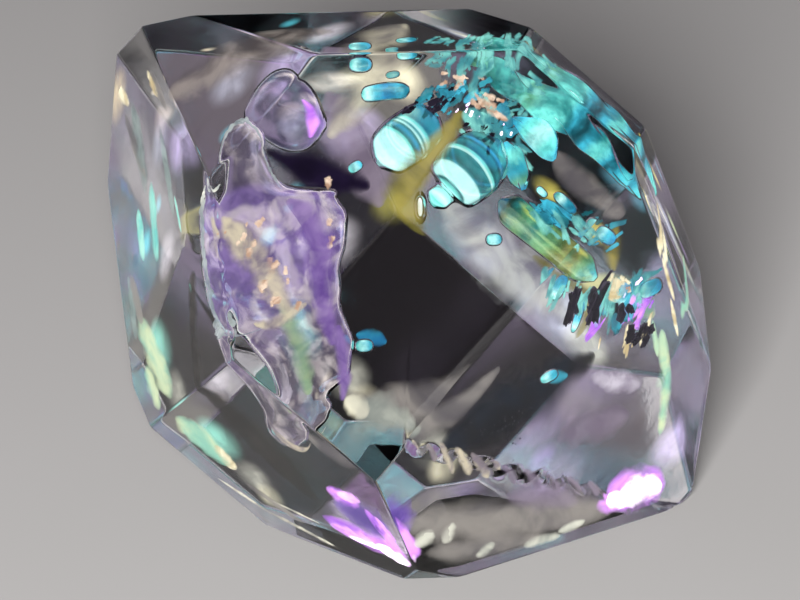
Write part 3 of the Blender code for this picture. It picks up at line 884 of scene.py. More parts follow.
streak_oil = oil("streak_oil", (
    (0.0, DEEP_TEAL), (0.4, GREEN), (0.8, AQUA), (1.1, DEEP_TEAL), (1.25, AQUA), (1.6, GREEN), (1.9, AQUA),
    (2.3, AQUA), (2.5, CYAN), (2.75, INK), (2.95, CYAN), (3.3, AQUA), (3.5, CYAN), (3.65, INK), (3.8, CYAN),
    (4.4, AQUA),
), DEEP_TEAL, wobble=0.8, patchy=1.0)
flake_oil = oil("flake_oil", (
    (0.0, CYAN), (0.3, AQUA), (0.6, PALE_AQUA), (0.85, AQUA), (1.1, CYAN), (1.3, BLUE),
), BLUE, patchy=0.85)
stem_oil = oil("stem_oil", (
    (0.0, CYAN), (0.3, AQUA), (0.6, CYAN), (0.85, GREEN), (1.05, BLUE),
), TEAL, patchy=0.7)
channel_oil = oil("channel_oil", (
    (0.0, BLUE), (0.2, DEEP_TEAL), (0.4, TEAL), (0.7, GREEN), (0.95, TEAL), (1.2, GREEN), (1.5, OLIVE),
    (1.8, GREEN), (2.2, CYAN),
), DEEP_TEAL, wobble=0.6, patchy=0.9, transmission=0.75, scale=1900.0, tint=(0.75, 0.85, 0.5))
drop_oil = oil("drop_oil", (
    (0.0, AQUA), (0.12, PALE_AQUA), (0.3, CYAN), (0.5, BLUE), (0.8, CYAN),
), INK, patchy=0.85, scale=2600.0)
tall_fluid = fluid("tall_cavity_milk", (
    (0.0, (0.04, 0.035, 0.05)), (1.15, (0.05, 0.04, 0.065)), (1.35, (0.14, 0.09, 0.24)),
    (2.2, (0.18, 0.12, 0.29)), (3.6, (0.13, 0.09, 0.22)), (4.4, (0.1, 0.07, 0.14)),
    (5.2, (0.05, 0.045, 0.055)), (6.4, (0.08, 0.07, 0.08)),
), rim=(0.75, 0.7, 0.62), veil=(0.5, 0.45, 0.42), veil_share=0.75)
bell_fluid = fluid("bell_cavity_milk", (
    (0.0, (0.12, 0.12, 0.14)), (0.5, (0.05, 0.05, 0.07)), (0.9, (0.12, 0.13, 0.15)),
    (1.5, (0.22, 0.12, 0.46)),
), rim=(0.26, 0.27, 0.28), veil=(0.2, 0.15, 0.24), veil_share=0.6)
gas = gas_finish()
# Hazes: two tones, how fine the clouds between them are, and how much they cover.
HAZES = {
    # The first three are painted shade: dark sheets laid where the crystal looks dark.
    "painted_dark_shade": ((0.003, 0.001, 0.01), (0.012, 0.006, 0.03), 900.0, 0.95),
    "painted_warm_shade": ((0.008, 0.007, 0.006), (0.04, 0.034, 0.028), 900.0, 0.8),
    "painted_blue_shade": ((0.002, 0.003, 0.006), (0.006, 0.012, 0.024), 700.0, 0.75),
    "cream_veil": ((0.2, 0.18, 0.18), (0.8, 0.74, 0.55), 900.0, 0.5),
    "brown_veil": ((0.07, 0.058, 0.055), (0.36, 0.31, 0.28), 900.0, 0.55),
    "pale_veil": ((0.2, 0.19, 0.24), (0.6, 0.62, 0.58), 1100.0, 0.55),
    "green_milk": ((0.16, 0.34, 0.22), (0.4, 0.55, 0.3), 1400.0, 0.6),
    "bright_aqua": ((0.2, 0.8, 0.72), (0.65, 1.2, 1.0), 900.0, 0.9),
    "pale_lilac": ((0.3, 0.25, 0.34), (0.8, 0.74, 0.85), 1300.0, 0.65),
    "soft_yellow": ((0.16, 0.36, 0.28), (0.75, 0.72, 0.36), 1500.0, 0.7),
    "golden_haze": (OLIVE, YELLOW, 900.0, 0.5),
    "cream_haze": ((0.24, 0.2, 0.24), (0.75, 0.66, 0.48), 1700.0, 0.85),
    "lilac_haze": ((0.16, 0.12, 0.19), (0.34, 0.28, 0.36), 700.0, 0.55),
    "grey_haze": ((0.12, 0.11, 0.12), (0.36, 0.33, 0.3), 700.0, 0.75),
    "green_haze": ((0.32, 0.72, 0.55), (0.85, 1.0, 0.62), 900.0, 0.85),
    "violet_haze": ((0.13, 0.06, 0.3), (0.32, 0.2, 0.5), 1100.0, 0.75),
    "peach_haze": ((0.6, 0.36, 0.24), (1.1, 0.85, 0.65), 3000.0, 1.0),
    # violet_glow, white_glow and pink_glow are painted highlights and hot spots.
    "violet_glow": ((0.5, 0.16, 0.95), (1.3, 0.55, 1.6), 900.0, 0.95),
    "white_glow": ((2.4, 1.6, 2.6), (3.0, 2.8, 3.0), 1200.0, 1.0),
    "grey_aqua": ((0.1, 0.15, 0.15), (0.42, 0.55, 0.52), 1200.0, 0.6),
    "pink_glow": ((1.0, 0.4, 1.3), (1.7, 0.95, 1.8), 1200.0, 0.95),
    "deep_violet": ((0.07, 0.03, 0.28), (0.3, 0.14, 0.75), 900.0, 0.75),
    "rim_light": ((0.4, 0.38, 0.33), (1.1, 1.05, 0.85), 2200.0, 0.8),
    "faint_cream": ((0.3, 0.33, 0.3), (0.95, 0.95, 0.8), 700.0, 0.7),
    "gold_glow": ((0.7, 0.55, 0.28), (1.3, 1.2, 0.85), 1500.0, 0.9),
    "bright_cream": ((0.7, 0.68, 0.55), (1.3, 1.25, 0.95), 800.0, 0.9),
    "aqua_haze": ((0.06, 0.3, 0.34), (0.3, 0.85, 0.75), 1800.0, 0.9),
    "blue_haze": (BLUE, CYAN, 1500.0, 0.7),
}
HAZE_OF = {name: haze(name, *values) for name, values in HAZES.items()}
teal_flecks = fleck("teal_flecks", TEAL, CYAN, INK)
# Dark grains of the crystal, and the painted shade of the gas bubble's ring.
dark_flecks_and_shade = fleck(
    "dark_flecks_and_shade", INK, (0.02, 0.015, 0.03), (0.06, 0.05, 0.08), transmission=0.3, tint=(0.03, 0.03, 0.04),
)
# Painted highlight along the tall cavity's rims, with a darker outline.
painted_rim_highlight = fleck("painted_rim_highlight", (0.85, 0.8, 0.66), (0.3, 0.32, 0.3), (0.12, 0.1, 0.12), 0.6, 3500.0)

# Lofted pockets: stations, lift, what fills them, its slot, and the kind of wall.
tall_rows = [((left + right) / 2, up, (right - left) / 2, deep) for up, left, right, deep in TALL_CAVITY]
LOFTS = {
    "tall_cavity_fluid": (tall_rows, -0.1, tall_fluid, "clear_fluid", "fluid"),
    "bell_cavity_fluid": (BELL_CAVITY, -0.5, bell_fluid, "clear_fluid", "faint_fluid"),
    "oil_barrel_upper": (BARREL_UPPER, 0.0, upper_barrel_oil, "glowing_oil", "oil"),
    "oil_barrel_lower": (BARREL_LOWER, 0.1, lower_barrel_oil, "glowing_oil", "oil"),
    "oil_flake": (FLAKE, 0.0, flake_oil, "glowing_oil", "oil"),
    "oil_stem": (STEM, 0.05, stem_oil, "glowing_oil", "oil"),
    "oil_channel": (CHANNEL, 0.0, channel_oil, "yellow_oil", "oil"),
    "oil_streak": (STREAK, 0.0, streak_oil, "glowing_oil", "oil"),
    "oil_pill_long": (PILL_LONG, 0.05, drop_oil, "glowing_oil", "oil"),
}
SMALL_POCKETS = (
    "oil_pill_round", "oil_pill_small", "oil_pill_top",
    *(f"oil_drop_{number}" for number in range(1, 8)),
    *(f"oil_sliver_{number}" for number in range(1, 6)),
)


def uneven(amount, seed, pace=6.0, left_only=False):
    """A bumpy relief for a lofted body: the sum of seven sines, each with its own number of waves along
    the body and round it, and its own start."""
    waves = np.random.default_rng(seed).uniform((0.8, 1.0, 0.0), (pace, 4.0, 6.283), (7, 3))

    def relief(part, turn):
        bumps = sum(np.sin(a * 2 * part * np.pi + np.round(b) * turn + c) for a, b, c in waves) / 3.0
        side = smooth_step(-np.cos(turn)) if left_only else 1.0
        return amount * bumps * side

    return relief


BAND_TILTS = {"oil_barrel_upper": 0.55, "oil_barrel_lower": 0.65}  # towards the front
RELIEFS = {
    "tall_cavity_fluid": uneven(0.04, 3, 22.0, left_only=True),
    "oil_streak": uneven(0.4, 5, 7.0),
    "oil_channel": uneven(0.12, 6, 3.0),
    "oil_flake": uneven(0.35, 7, 2.5),
    "oil_stem": uneven(0.2, 8, 3.0),
    "oil_barrel_upper": uneven(0.03, 9),
    "oil_barrel_lower": uneven(0.02, 10),
}


def fill_pocket(name, shape, finish, kind, tilt=0.0):
    """Adds what fills a pocket, and gives the crystal's wall round it, which is a little larger."""
    add_piece(name + "_filling", [facing(closed_body(shape(), tilt=tilt))], [finish], [name])
    return facing(closed_body(shape(swell=WALL_GAP), CRYSTAL_SLOTS.index(kind)), outwards=False)


walls = []
for name, (stations, lift, finish, slot, kind) in LOFTS.items():
    shape = functools.partial(lofted, stations, lift, relief=RELIEFS.get(name))
    walls.append(fill_pocket(name, shape, finish, kind, BAND_TILTS.get(name, 0.0)))
for name in SMALL_POCKETS:
    walls.append(fill_pocket(name, functools.partial(droplet, name), drop_oil, "oil"))
shape = functools.partial(rounded, pocket_points(*GAS_PLACE), (UP, RIGHT, FRONT), GAS_HALF)
walls.append(fill_pocket("gas_bubble", shape, gas, "gas"))


def gas_shade_ring():
    """Stations of the dark ring of painted shade round the gas bubble: an upright ellipse that is open at the
    top.
    """
    (right, up, _), (wide, high) = GAS_PLACE, GAS_RING_HALF
    turns = np.linspace(*GAS_RING_TURN, GAS_RING_STATIONS)
    places = [(right + wide * math.sin(turn), up + high * math.cos(turn)) for turn in turns]
    return [(*place, *GAS_RING_THICKNESS) for place in places]


# The gas bubble's dark ring, which is painted shade.
body = facing(closed_body(lofted(gas_shade_ring(), GAS_RING_LIFT, around=12)))
add_piece("gas_bubble_shade_ring", [body], [dark_flecks_and_shade])
faces = [facet(face) for face in range(len(NORMALS))]
halves = ["quartz_front", "quartz_back"]
add_piece("quartz_crystal", faces + walls, crystal_finishes, halves)

GRAIN_RINGS, GRAIN_AROUND = 7, 10
GRAIN_LEAN_SPREAD = 18.0  # degrees
GRAIN_SIZES = (0.4, 1.5)  # times the group's size
GRAIN_LIFT_SPREAD = 0.08
GRAIN_TIP, GRAIN_ROLL = 0.25, 0.4  # how far grains tip towards the front, and roll
RING_LUMPS, POINT_LUMPS = 0.2, 0.12  # shares of a grain's size
# Finish, slot, seed and groups of grains. A group: how many, middle (right, up), spread (right, up), lift,
# long and wide half sizes, flatness, and the angle they lean at (degrees from up, clockwise).
GRAINS = {
    "fibrous_aqua": (HAZE_OF["aqua_haze"], "glowing_oil", 11, (
        (30, (1.45, 4.45), (0.75, 0.35), 0.1, (0.24, 0.07), 0.5, 20),
        (14, (1.5, 3.35), (0.35, 0.35), 0.15, (0.26, 0.12), 0.4, 140),
        (10, (2.3, 3.9), (0.5, 0.3), 0.05, (0.24, 0.09), 0.4, 125),
        (10, (0.55, 4.55), (0.5, 0.12), 0.0, (0.12, 0.05), 0.5, 80),
        (14, (2.2, 3.6), (0.7, 0.4), -0.1, (0.14, 0.06), 0.4, 60),
        (14, (4.1, 0.0), (0.55, 0.4), 0.0, (0.28, 0.08), 0.4, 5),
        (8, (2.75, 0.1), (0.3, 0.3), 0.1, (0.26, 0.07), 0.4, 15),
        (7, (3.2, -0.1), (0.1, 0.12), 0.15, (0.36, 0.06), 0.4, 6),
        (9, (3.8, -0.15), (0.16, 0.2), 0.15, (0.4, 0.06), 0.4, 2),
        (6, (4.65, 0.35), (0.3, 0.1), 0.1, (0.2, 0.1), 0.4, 75),
        (8, (2.2, 2.8), (0.3, 0.3), -0.1, (0.22, 0.08), 0.4, 130),
        (9, (2.95, 1.3), (0.4, 0.15), 0.15, (0.2, 0.07), 0.4, 135),
    )),
    "crumpled_teal": (teal_flecks, "glowing_oil", 12, (
        (30, (0.9, 3.9), (0.65, 0.3), 0.05, (0.14, 0.07), 0.4, 50),
        (16, (1.75, 3.25), (0.3, 0.35), 0.0, (0.16, 0.07), 0.4, 30),
        (10, (3.3, 1.4), (0.5, 0.3), 0.0, (0.14, 0.06), 0.4, 50),
        (16, (4.3, -0.1), (0.5, 0.5), 0.0, (0.18, 0.05), 0.4, 0),
        (10, (4.0, -0.35), (0.3, 0.2), 0.0, (0.3, 0.06), 0.4, 0),
        (9, (2.7, 1.55), (0.35, 0.15), 0.1, (0.2, 0.07), 0.4, 135),
    )),
    "dark_grains": (dark_flecks_and_shade, "glowing_oil", 13, (
        (18, (0.6, 3.7), (0.6, 0.25), 0.15, (0.1, 0.05), 0.4, 50),
        (10, (1.6, 3.1), (0.25, 0.4), 0.15, (0.12, 0.04), 0.4, 30),
        (6, (3.6, -0.1), (0.2, 0.35), 0.1, (0.34, 0.05), 0.4, 0),
        (5, (4.6, -1.0), (0.2, 0.15), 0.1, (0.2, 0.08), 0.5, 0),
        (60, (1.9, -2.6), (0.8, 0.7), 0.3, (0.012, 0.01), 0.8, 0),
        (3, (3.05, -0.15), (0.04, 0.06), 0.25, (0.32, 0.08), 0.4, 10),
        (3, (3.5, -0.1), (0.04, 0.1), 0.25, (0.44, 0.1), 0.4, 0),
        (4, (4.05, -0.4), (0.2, 0.1), 0.2, (0.16, 0.1), 0.5, 0),
        (5, (4.55, -1.1), (0.25, 0.15), 0.1, (0.24, 0.16), 0.5, 0),
    )),
    "peach_glints": (HAZE_OF["peach_haze"], "yellow_oil", 14, (
        (6, (0.95, 4.2), (0.3, 0.12), 0.25, (0.12, 0.06), 0.5, 65),
        (9, (1.55, 3.85), (0.35, 0.3), 0.25, (0.15, 0.08), 0.5, 125),
        (8, (4.1, 0.1), (0.25, 0.2), 0.15, (0.09, 0.05), 0.5, 0),
        (9, (-3.2, 1.2), (0.4, 0.5), 0.5, (0.11, 0.08), 0.6, 20),
        (9, (-2.6, 0.2), (0.35, 0.6), 0.5, (0.11, 0.08), 0.6, 20),
        (4, (-1.55, 1.45), (0.08, 0.8), 0.45, (0.12, 0.08), 0.6, 20),
    )),
    "yellow_slivers": (HAZE_OF["gold_glow"], "yellow_oil", 16, (
        (12, (3.95, 0.15), (0.45, 0.3), 0.1, (0.2, 0.1), 0.5, 0),
        (8, (4.35, -0.9), (0.4, 0.3), 0.0, (0.28, 0.05), 0.5, 15),
    )),
    # Painted violet highlights in and below the right cluster.
    "violet_slivers": (HAZE_OF["violet_glow"], "glowing_oil", 17, (
        (9, (4.5, -0.4), (0.45, 0.3), 0.1, (0.2, 0.07), 0.5, 25),
        (5, (3.6, -0.7), (0.4, 0.25), -0.1, (0.24, 0.08), 0.5, 30),
    )),
    "pink_glints": (HAZE_OF["white_glow"], "glowing_oil", 15, (
        (3, (4.2, 0.0), (0.3, 0.2), 0.2, (0.08, 0.04), 0.5, 30),
        (5, (1.2, 3.6), (0.5, 0.2), 0.2, (0.05, 0.03), 0.5, 30),
        (3, (1.9, 3.2), (0.4, 0.3), 0.2, (0.05, 0.03), 0.5, 30),
    )),
}


def grain_bodies(seed, groups):
    """Small rounded grains, each leaning about its group's angle, with a lumpy surface."""
    draw = np.random.default_rng(seed)
    bodies = []
    for number, middle, spread, lift, (long, wide), flat, lean in groups:
        for _ in range(number):
            right, up = np.array(middle) + draw.normal(0.0, 0.5, 2) * spread
            turn = math.radians(lean + draw.normal(0.0, GRAIN_LEAN_SPREAD))
            size = draw.uniform(*GRAIN_SIZES)
            tip = FRONT * draw.normal(0.0, GRAIN_TIP)
            along = unit(RIGHT * math.sin(turn) + UP * math.cos(turn) + tip)
            across = unit(np.cross(along, FRONT + GRAIN_ROLL * RIGHT * draw.normal()))
            place = pocket_points(right, up, lift + draw.normal(0.0, GRAIN_LIFT_SPREAD))
            half = (long * size, wide * size, wide * size * flat)
            axes = (along, across, np.cross(along, across))
            rings = rounded(place, axes, half, along=GRAIN_RINGS + 2, around=GRAIN_AROUND)
            lumps = draw.normal(0.0, RING_LUMPS, (GRAIN_RINGS, 1))
            lumps = lumps + draw.normal(0.0, POINT_LUMPS, (GRAIN_RINGS, GRAIN_AROUND))
            grain = body_inside(place + (rings - place) * (1.0 + lumps)[..., None])
            bodies.append({**grain, "along": np.full(len(grain["along"]), draw.uniform())})
    return bodies


for name, (finish, slot, seed, groups) in GRAINS.items():
    add_piece(name, grain_bodies(seed, groups), [finish])

# The bright outline of the tall cavity, a painted highlight: lift, and stations (right, up, half width, half
# depth).
RIM_UNEVENNESS = {"amount": 0.6, "seed": 21, "pace": 30.0}
RIMS = {
    "chipped_rim": (0.12, (
        (-3.62, 2.3, 0.02, 0.02), (-3.84, 1.95, 0.08, 0.06), (-3.9, 1.4, 0.07, 0.06),
        (-3.95, 0.95, 0.09, 0.06), (-3.8, 0.5, 0.08, 0.06), (-3.72, 0.1, 0.08, 0.06),
        (-3.5, -0.35, 0.08, 0.06), (-3.36, -0.66, 0.09, 0.06), (-3.1, -0.62, 0.09, 0.06),
        (-2.8, -0.5, 0.02, 0.02),
    )),
    "finger_rim": (0.1, (
        (-3.5, 2.1, 0.015, 0.015), (-3.5, 2.6, 0.04, 0.04), (-3.46, 3.0, 0.045, 0.04),
        (-3.28, 3.32, 0.045, 0.04), (-3.0, 3.42, 0.045, 0.04), (-2.82, 3.2, 0.045, 0.04),
        (-2.74, 2.8, 0.05, 0.04), (-2.6, 2.45, 0.05, 0.04), (-2.42, 2.2, 0.015, 0.015),
    )),
}
for name, (lift, stations) in RIMS.items():
    rings = lofted(stations, lift, along=160, around=16, relief=uneven(**RIM_UNEVENNESS))
    add_piece(name, [body_inside(rings)], [painted_rim_highlight])

# Soft glows and hazes inside the crystal: finish, lift, and stations (right, up, half width, half depth). The
# dark ones are painted shade, laid where the crystal looks dark.
SOFT_GLOWS = {
    "golden_film": ("golden_haze", 0.62, (
        (1.05, 3.6, 0.1, 0.03), (0.75, 3.15, 0.3, 0.05), (0.3, 2.65, 0.42, 0.05), (-0.1, 2.1, 0.48, 0.05),
        (0.0, 1.6, 0.44, 0.05), (0.25, 1.2, 0.14, 0.03),
    )),
    # Painted shade, in this and the next three: dark sheets where the crystal looks dark.
    "dark_veil": ("painted_dark_shade", -0.7, (
        (-2.7, 2.9, 0.1, 0.05), (-2.2, 2.6, 0.4, 0.06), (-1.6, 2.35, 0.42, 0.06), (-1.0, 2.2, 0.34, 0.06),
        (-0.7, 2.1, 0.1, 0.04),
    )),
    "smoky_veil_left": ("painted_warm_shade", -0.6, (
        (-3.95, 0.6, 0.1, 0.05), (-4.15, 0.1, 0.34, 0.06), (-4.3, -0.5, 0.42, 0.06),
        (-4.3, -1.1, 0.44, 0.06), (-4.2, -1.7, 0.3, 0.06), (-4.1, -2.0, 0.1, 0.05),
    )),
    "smoky_veil_low": ("painted_warm_shade", -0.6, (
        (-4.0, -1.7, 0.1, 0.05), (-3.6, -2.1, 0.5, 0.06), (-3.2, -2.6, 0.66, 0.06),
        (-2.7, -3.2, 0.66, 0.06), (-2.2, -3.7, 0.5, 0.06), (-1.8, -4.0, 0.1, 0.05),
    )),
    "blue_black_veil": ("painted_blue_shade", -1.3, (
        (0.1, -2.75, 0.1, 0.05), (0.7, -2.5, 0.6, 0.06), (1.5, -2.15, 0.95, 0.06),
        (2.3, -1.75, 0.95, 0.06), (3.0, -1.35, 0.5, 0.06), (3.4, -1.1, 0.1, 0.05),
    )),
    "cream_veil_top": ("cream_veil", -0.6, (
        (-1.5, 3.1, 0.1, 0.05), (-1.1, 3.6, 0.4, 0.08), (-0.6, 4.2, 0.55, 0.08), (-0.2, 4.6, 0.5, 0.08),
        (0.1, 5.0, 0.1, 0.05),
    )),
    "brown_veil_top": ("brown_veil", -0.4, (
        (-5.0, 4.2, 0.1, 0.05), (-4.3, 4.35, 0.5, 0.08), (-3.4, 4.6, 0.55, 0.08), (-2.6, 4.8, 0.45, 0.08),
        (-1.9, 4.95, 0.4, 0.08), (-1.3, 5.0, 0.1, 0.05),
    )),
    "cluster_glow": ("soft_yellow", -0.25, (
        (3.1, 0.45, 0.1, 0.05), (3.5, 0.3, 0.3, 0.08), (4.0, 0.1, 0.36, 0.08), (4.5, -0.2, 0.34, 0.08),
        (4.8, -0.6, 0.1, 0.05),
    )),
    # A painted violet highlight on the bell cavity.
    "bell_glow": ("violet_glow", 0.3, (
        (-2.0, 3.9, 0.05, 0.05), (-1.85, 3.7, 0.16, 0.1), (-1.8, 3.4, 0.17, 0.1),
        (-1.85, 3.15, 0.06, 0.05),
    )),
    "brown_crumple": ("grey_haze", -0.3, (
        (2.9, 2.7, 0.1, 0.05), (3.1, 2.4, 0.3, 0.1), (3.5, 2.0, 0.36, 0.1), (3.9, 1.7, 0.12, 0.05),
    )),
    "lilac_veil": ("pale_veil", -0.9, (
        (0.6, 1.9, 0.1, 0.03), (1.0, 1.5, 0.5, 0.05), (1.7, 0.8, 0.75, 0.06), (2.4, 0.1, 0.7, 0.06),
        (2.8, -0.4, 0.2, 0.03),
    )),
    "lilac_veil_upper": ("lilac_haze", -0.9, (
        (-1.5, 4.0, 0.1, 0.03), (-1.3, 3.6, 0.5, 0.05), (-0.9, 2.8, 0.6, 0.06), (-0.6, 2.1, 0.5, 0.06),
        (-0.5, 1.7, 0.1, 0.03),
    )),
    "golden_film_right": ("golden_haze", -0.35, (
        (3.75, 1.6, 0.1, 0.05), (3.7, 1.2, 0.3, 0.1), (3.75, 0.8, 0.24, 0.08), (3.8, 0.55, 0.08, 0.04),
    )),
    "golden_film_lower": ("golden_haze", -0.4, (
        (2.4, 0.75, 0.1, 0.04), (2.8, 0.45, 0.3, 0.08), (3.2, 0.2, 0.34, 0.08), (3.3, -0.3, 0.3, 0.08),
        (3.1, -0.8, 0.1, 0.04),
    )),
    "green_drift": ("green_milk", 0.36, (
        (-2.5, 0.05, 0.08, 0.05), (-2.35, -0.4, 0.24, 0.1), (-2.15, -0.95, 0.26, 0.1),
        (-2.05, -1.5, 0.22, 0.1), (-2.0, -1.85, 0.08, 0.05),
    )),
    "cream_knot": ("cream_haze", 0.4, (
        (-3.0, -0.45, 0.06, 0.05), (-2.8, -0.45, 0.16, 0.1), (-2.5, -0.35, 0.18, 0.1),
        (-2.2, -0.15, 0.12, 0.08), (-2.0, -0.05, 0.05, 0.05),
    )),
    "cream_drift": ("cream_haze", 0.42, (
        (-3.6, 1.7, 0.08, 0.05), (-3.3, 1.3, 0.36, 0.1), (-2.95, 0.8, 0.4, 0.1), (-2.6, 0.2, 0.36, 0.1),
        (-2.35, -0.2, 0.12, 0.05),
    )),
    "violet_drift": ("violet_haze", 0.4, (
        (-2.3, 2.0, 0.1, 0.05), (-2.0, 1.7, 0.5, 0.1), (-1.75, 1.1, 0.42, 0.12), (-1.7, 0.4, 0.36, 0.1),
        (-1.62, -0.3, 0.26, 0.1), (-1.5, -0.9, 0.1, 0.05),
    )),
    "violet_leg": ("violet_haze", 0.3, (
        (-1.4, -0.5, 0.08, 0.05), (-1.35, -0.9, 0.18, 0.1), (-1.3, -1.5, 0.18, 0.1),
        (-1.35, -2.0, 0.08, 0.05),
    )),
    "grey_band": ("grey_haze", -1.0, (
        (-1.4, -1.9, 0.1, 0.05), (-0.9, -2.2, 0.42, 0.08), (0.0, -2.1, 0.42, 0.08), (0.7, -1.7, 0.3, 0.08),
        (1.35, -1.15, 0.1, 0.05),
    )),
    # A painted highlight along the tall cavity's foot.
    "foot_rim": ("cream_haze", 0.22, (
        (-2.68, -2.1, 0.04, 0.05), (-2.62, -2.5, 0.08, 0.08), (-2.3, -2.8, 0.11, 0.1),
        (-1.9, -2.78, 0.12, 0.1), (-1.68, -2.5, 0.04, 0.04),
    )),
    "blue_glow": ("blue_haze", -1.2, (
        (-1.02, -0.8, 0.05, 0.05), (-0.85, -0.85, 0.2, 0.12), (-0.6, -0.92, 0.2, 0.12),
        (-0.42, -0.98, 0.05, 0.05),
    )),
    "blue_glow_right": ("blue_haze", -0.8, (
        (2.4, -1.55, 0.05, 0.05), (2.55, -1.55, 0.17, 0.14), (2.75, -1.55, 0.17, 0.14),
        (2.9, -1.55, 0.05, 0.05),
    )),
}
for name, (finish, lift, stations) in SOFT_GLOWS.items():
    body = body_inside(lofted(stations, lift, along=32, around=24))
    slot = "yellow_oil" if finish == "golden_haze" else "glowing_oil"
    add_piece(name, [body], [HAZE_OF[finish]]).visible_glossy = False


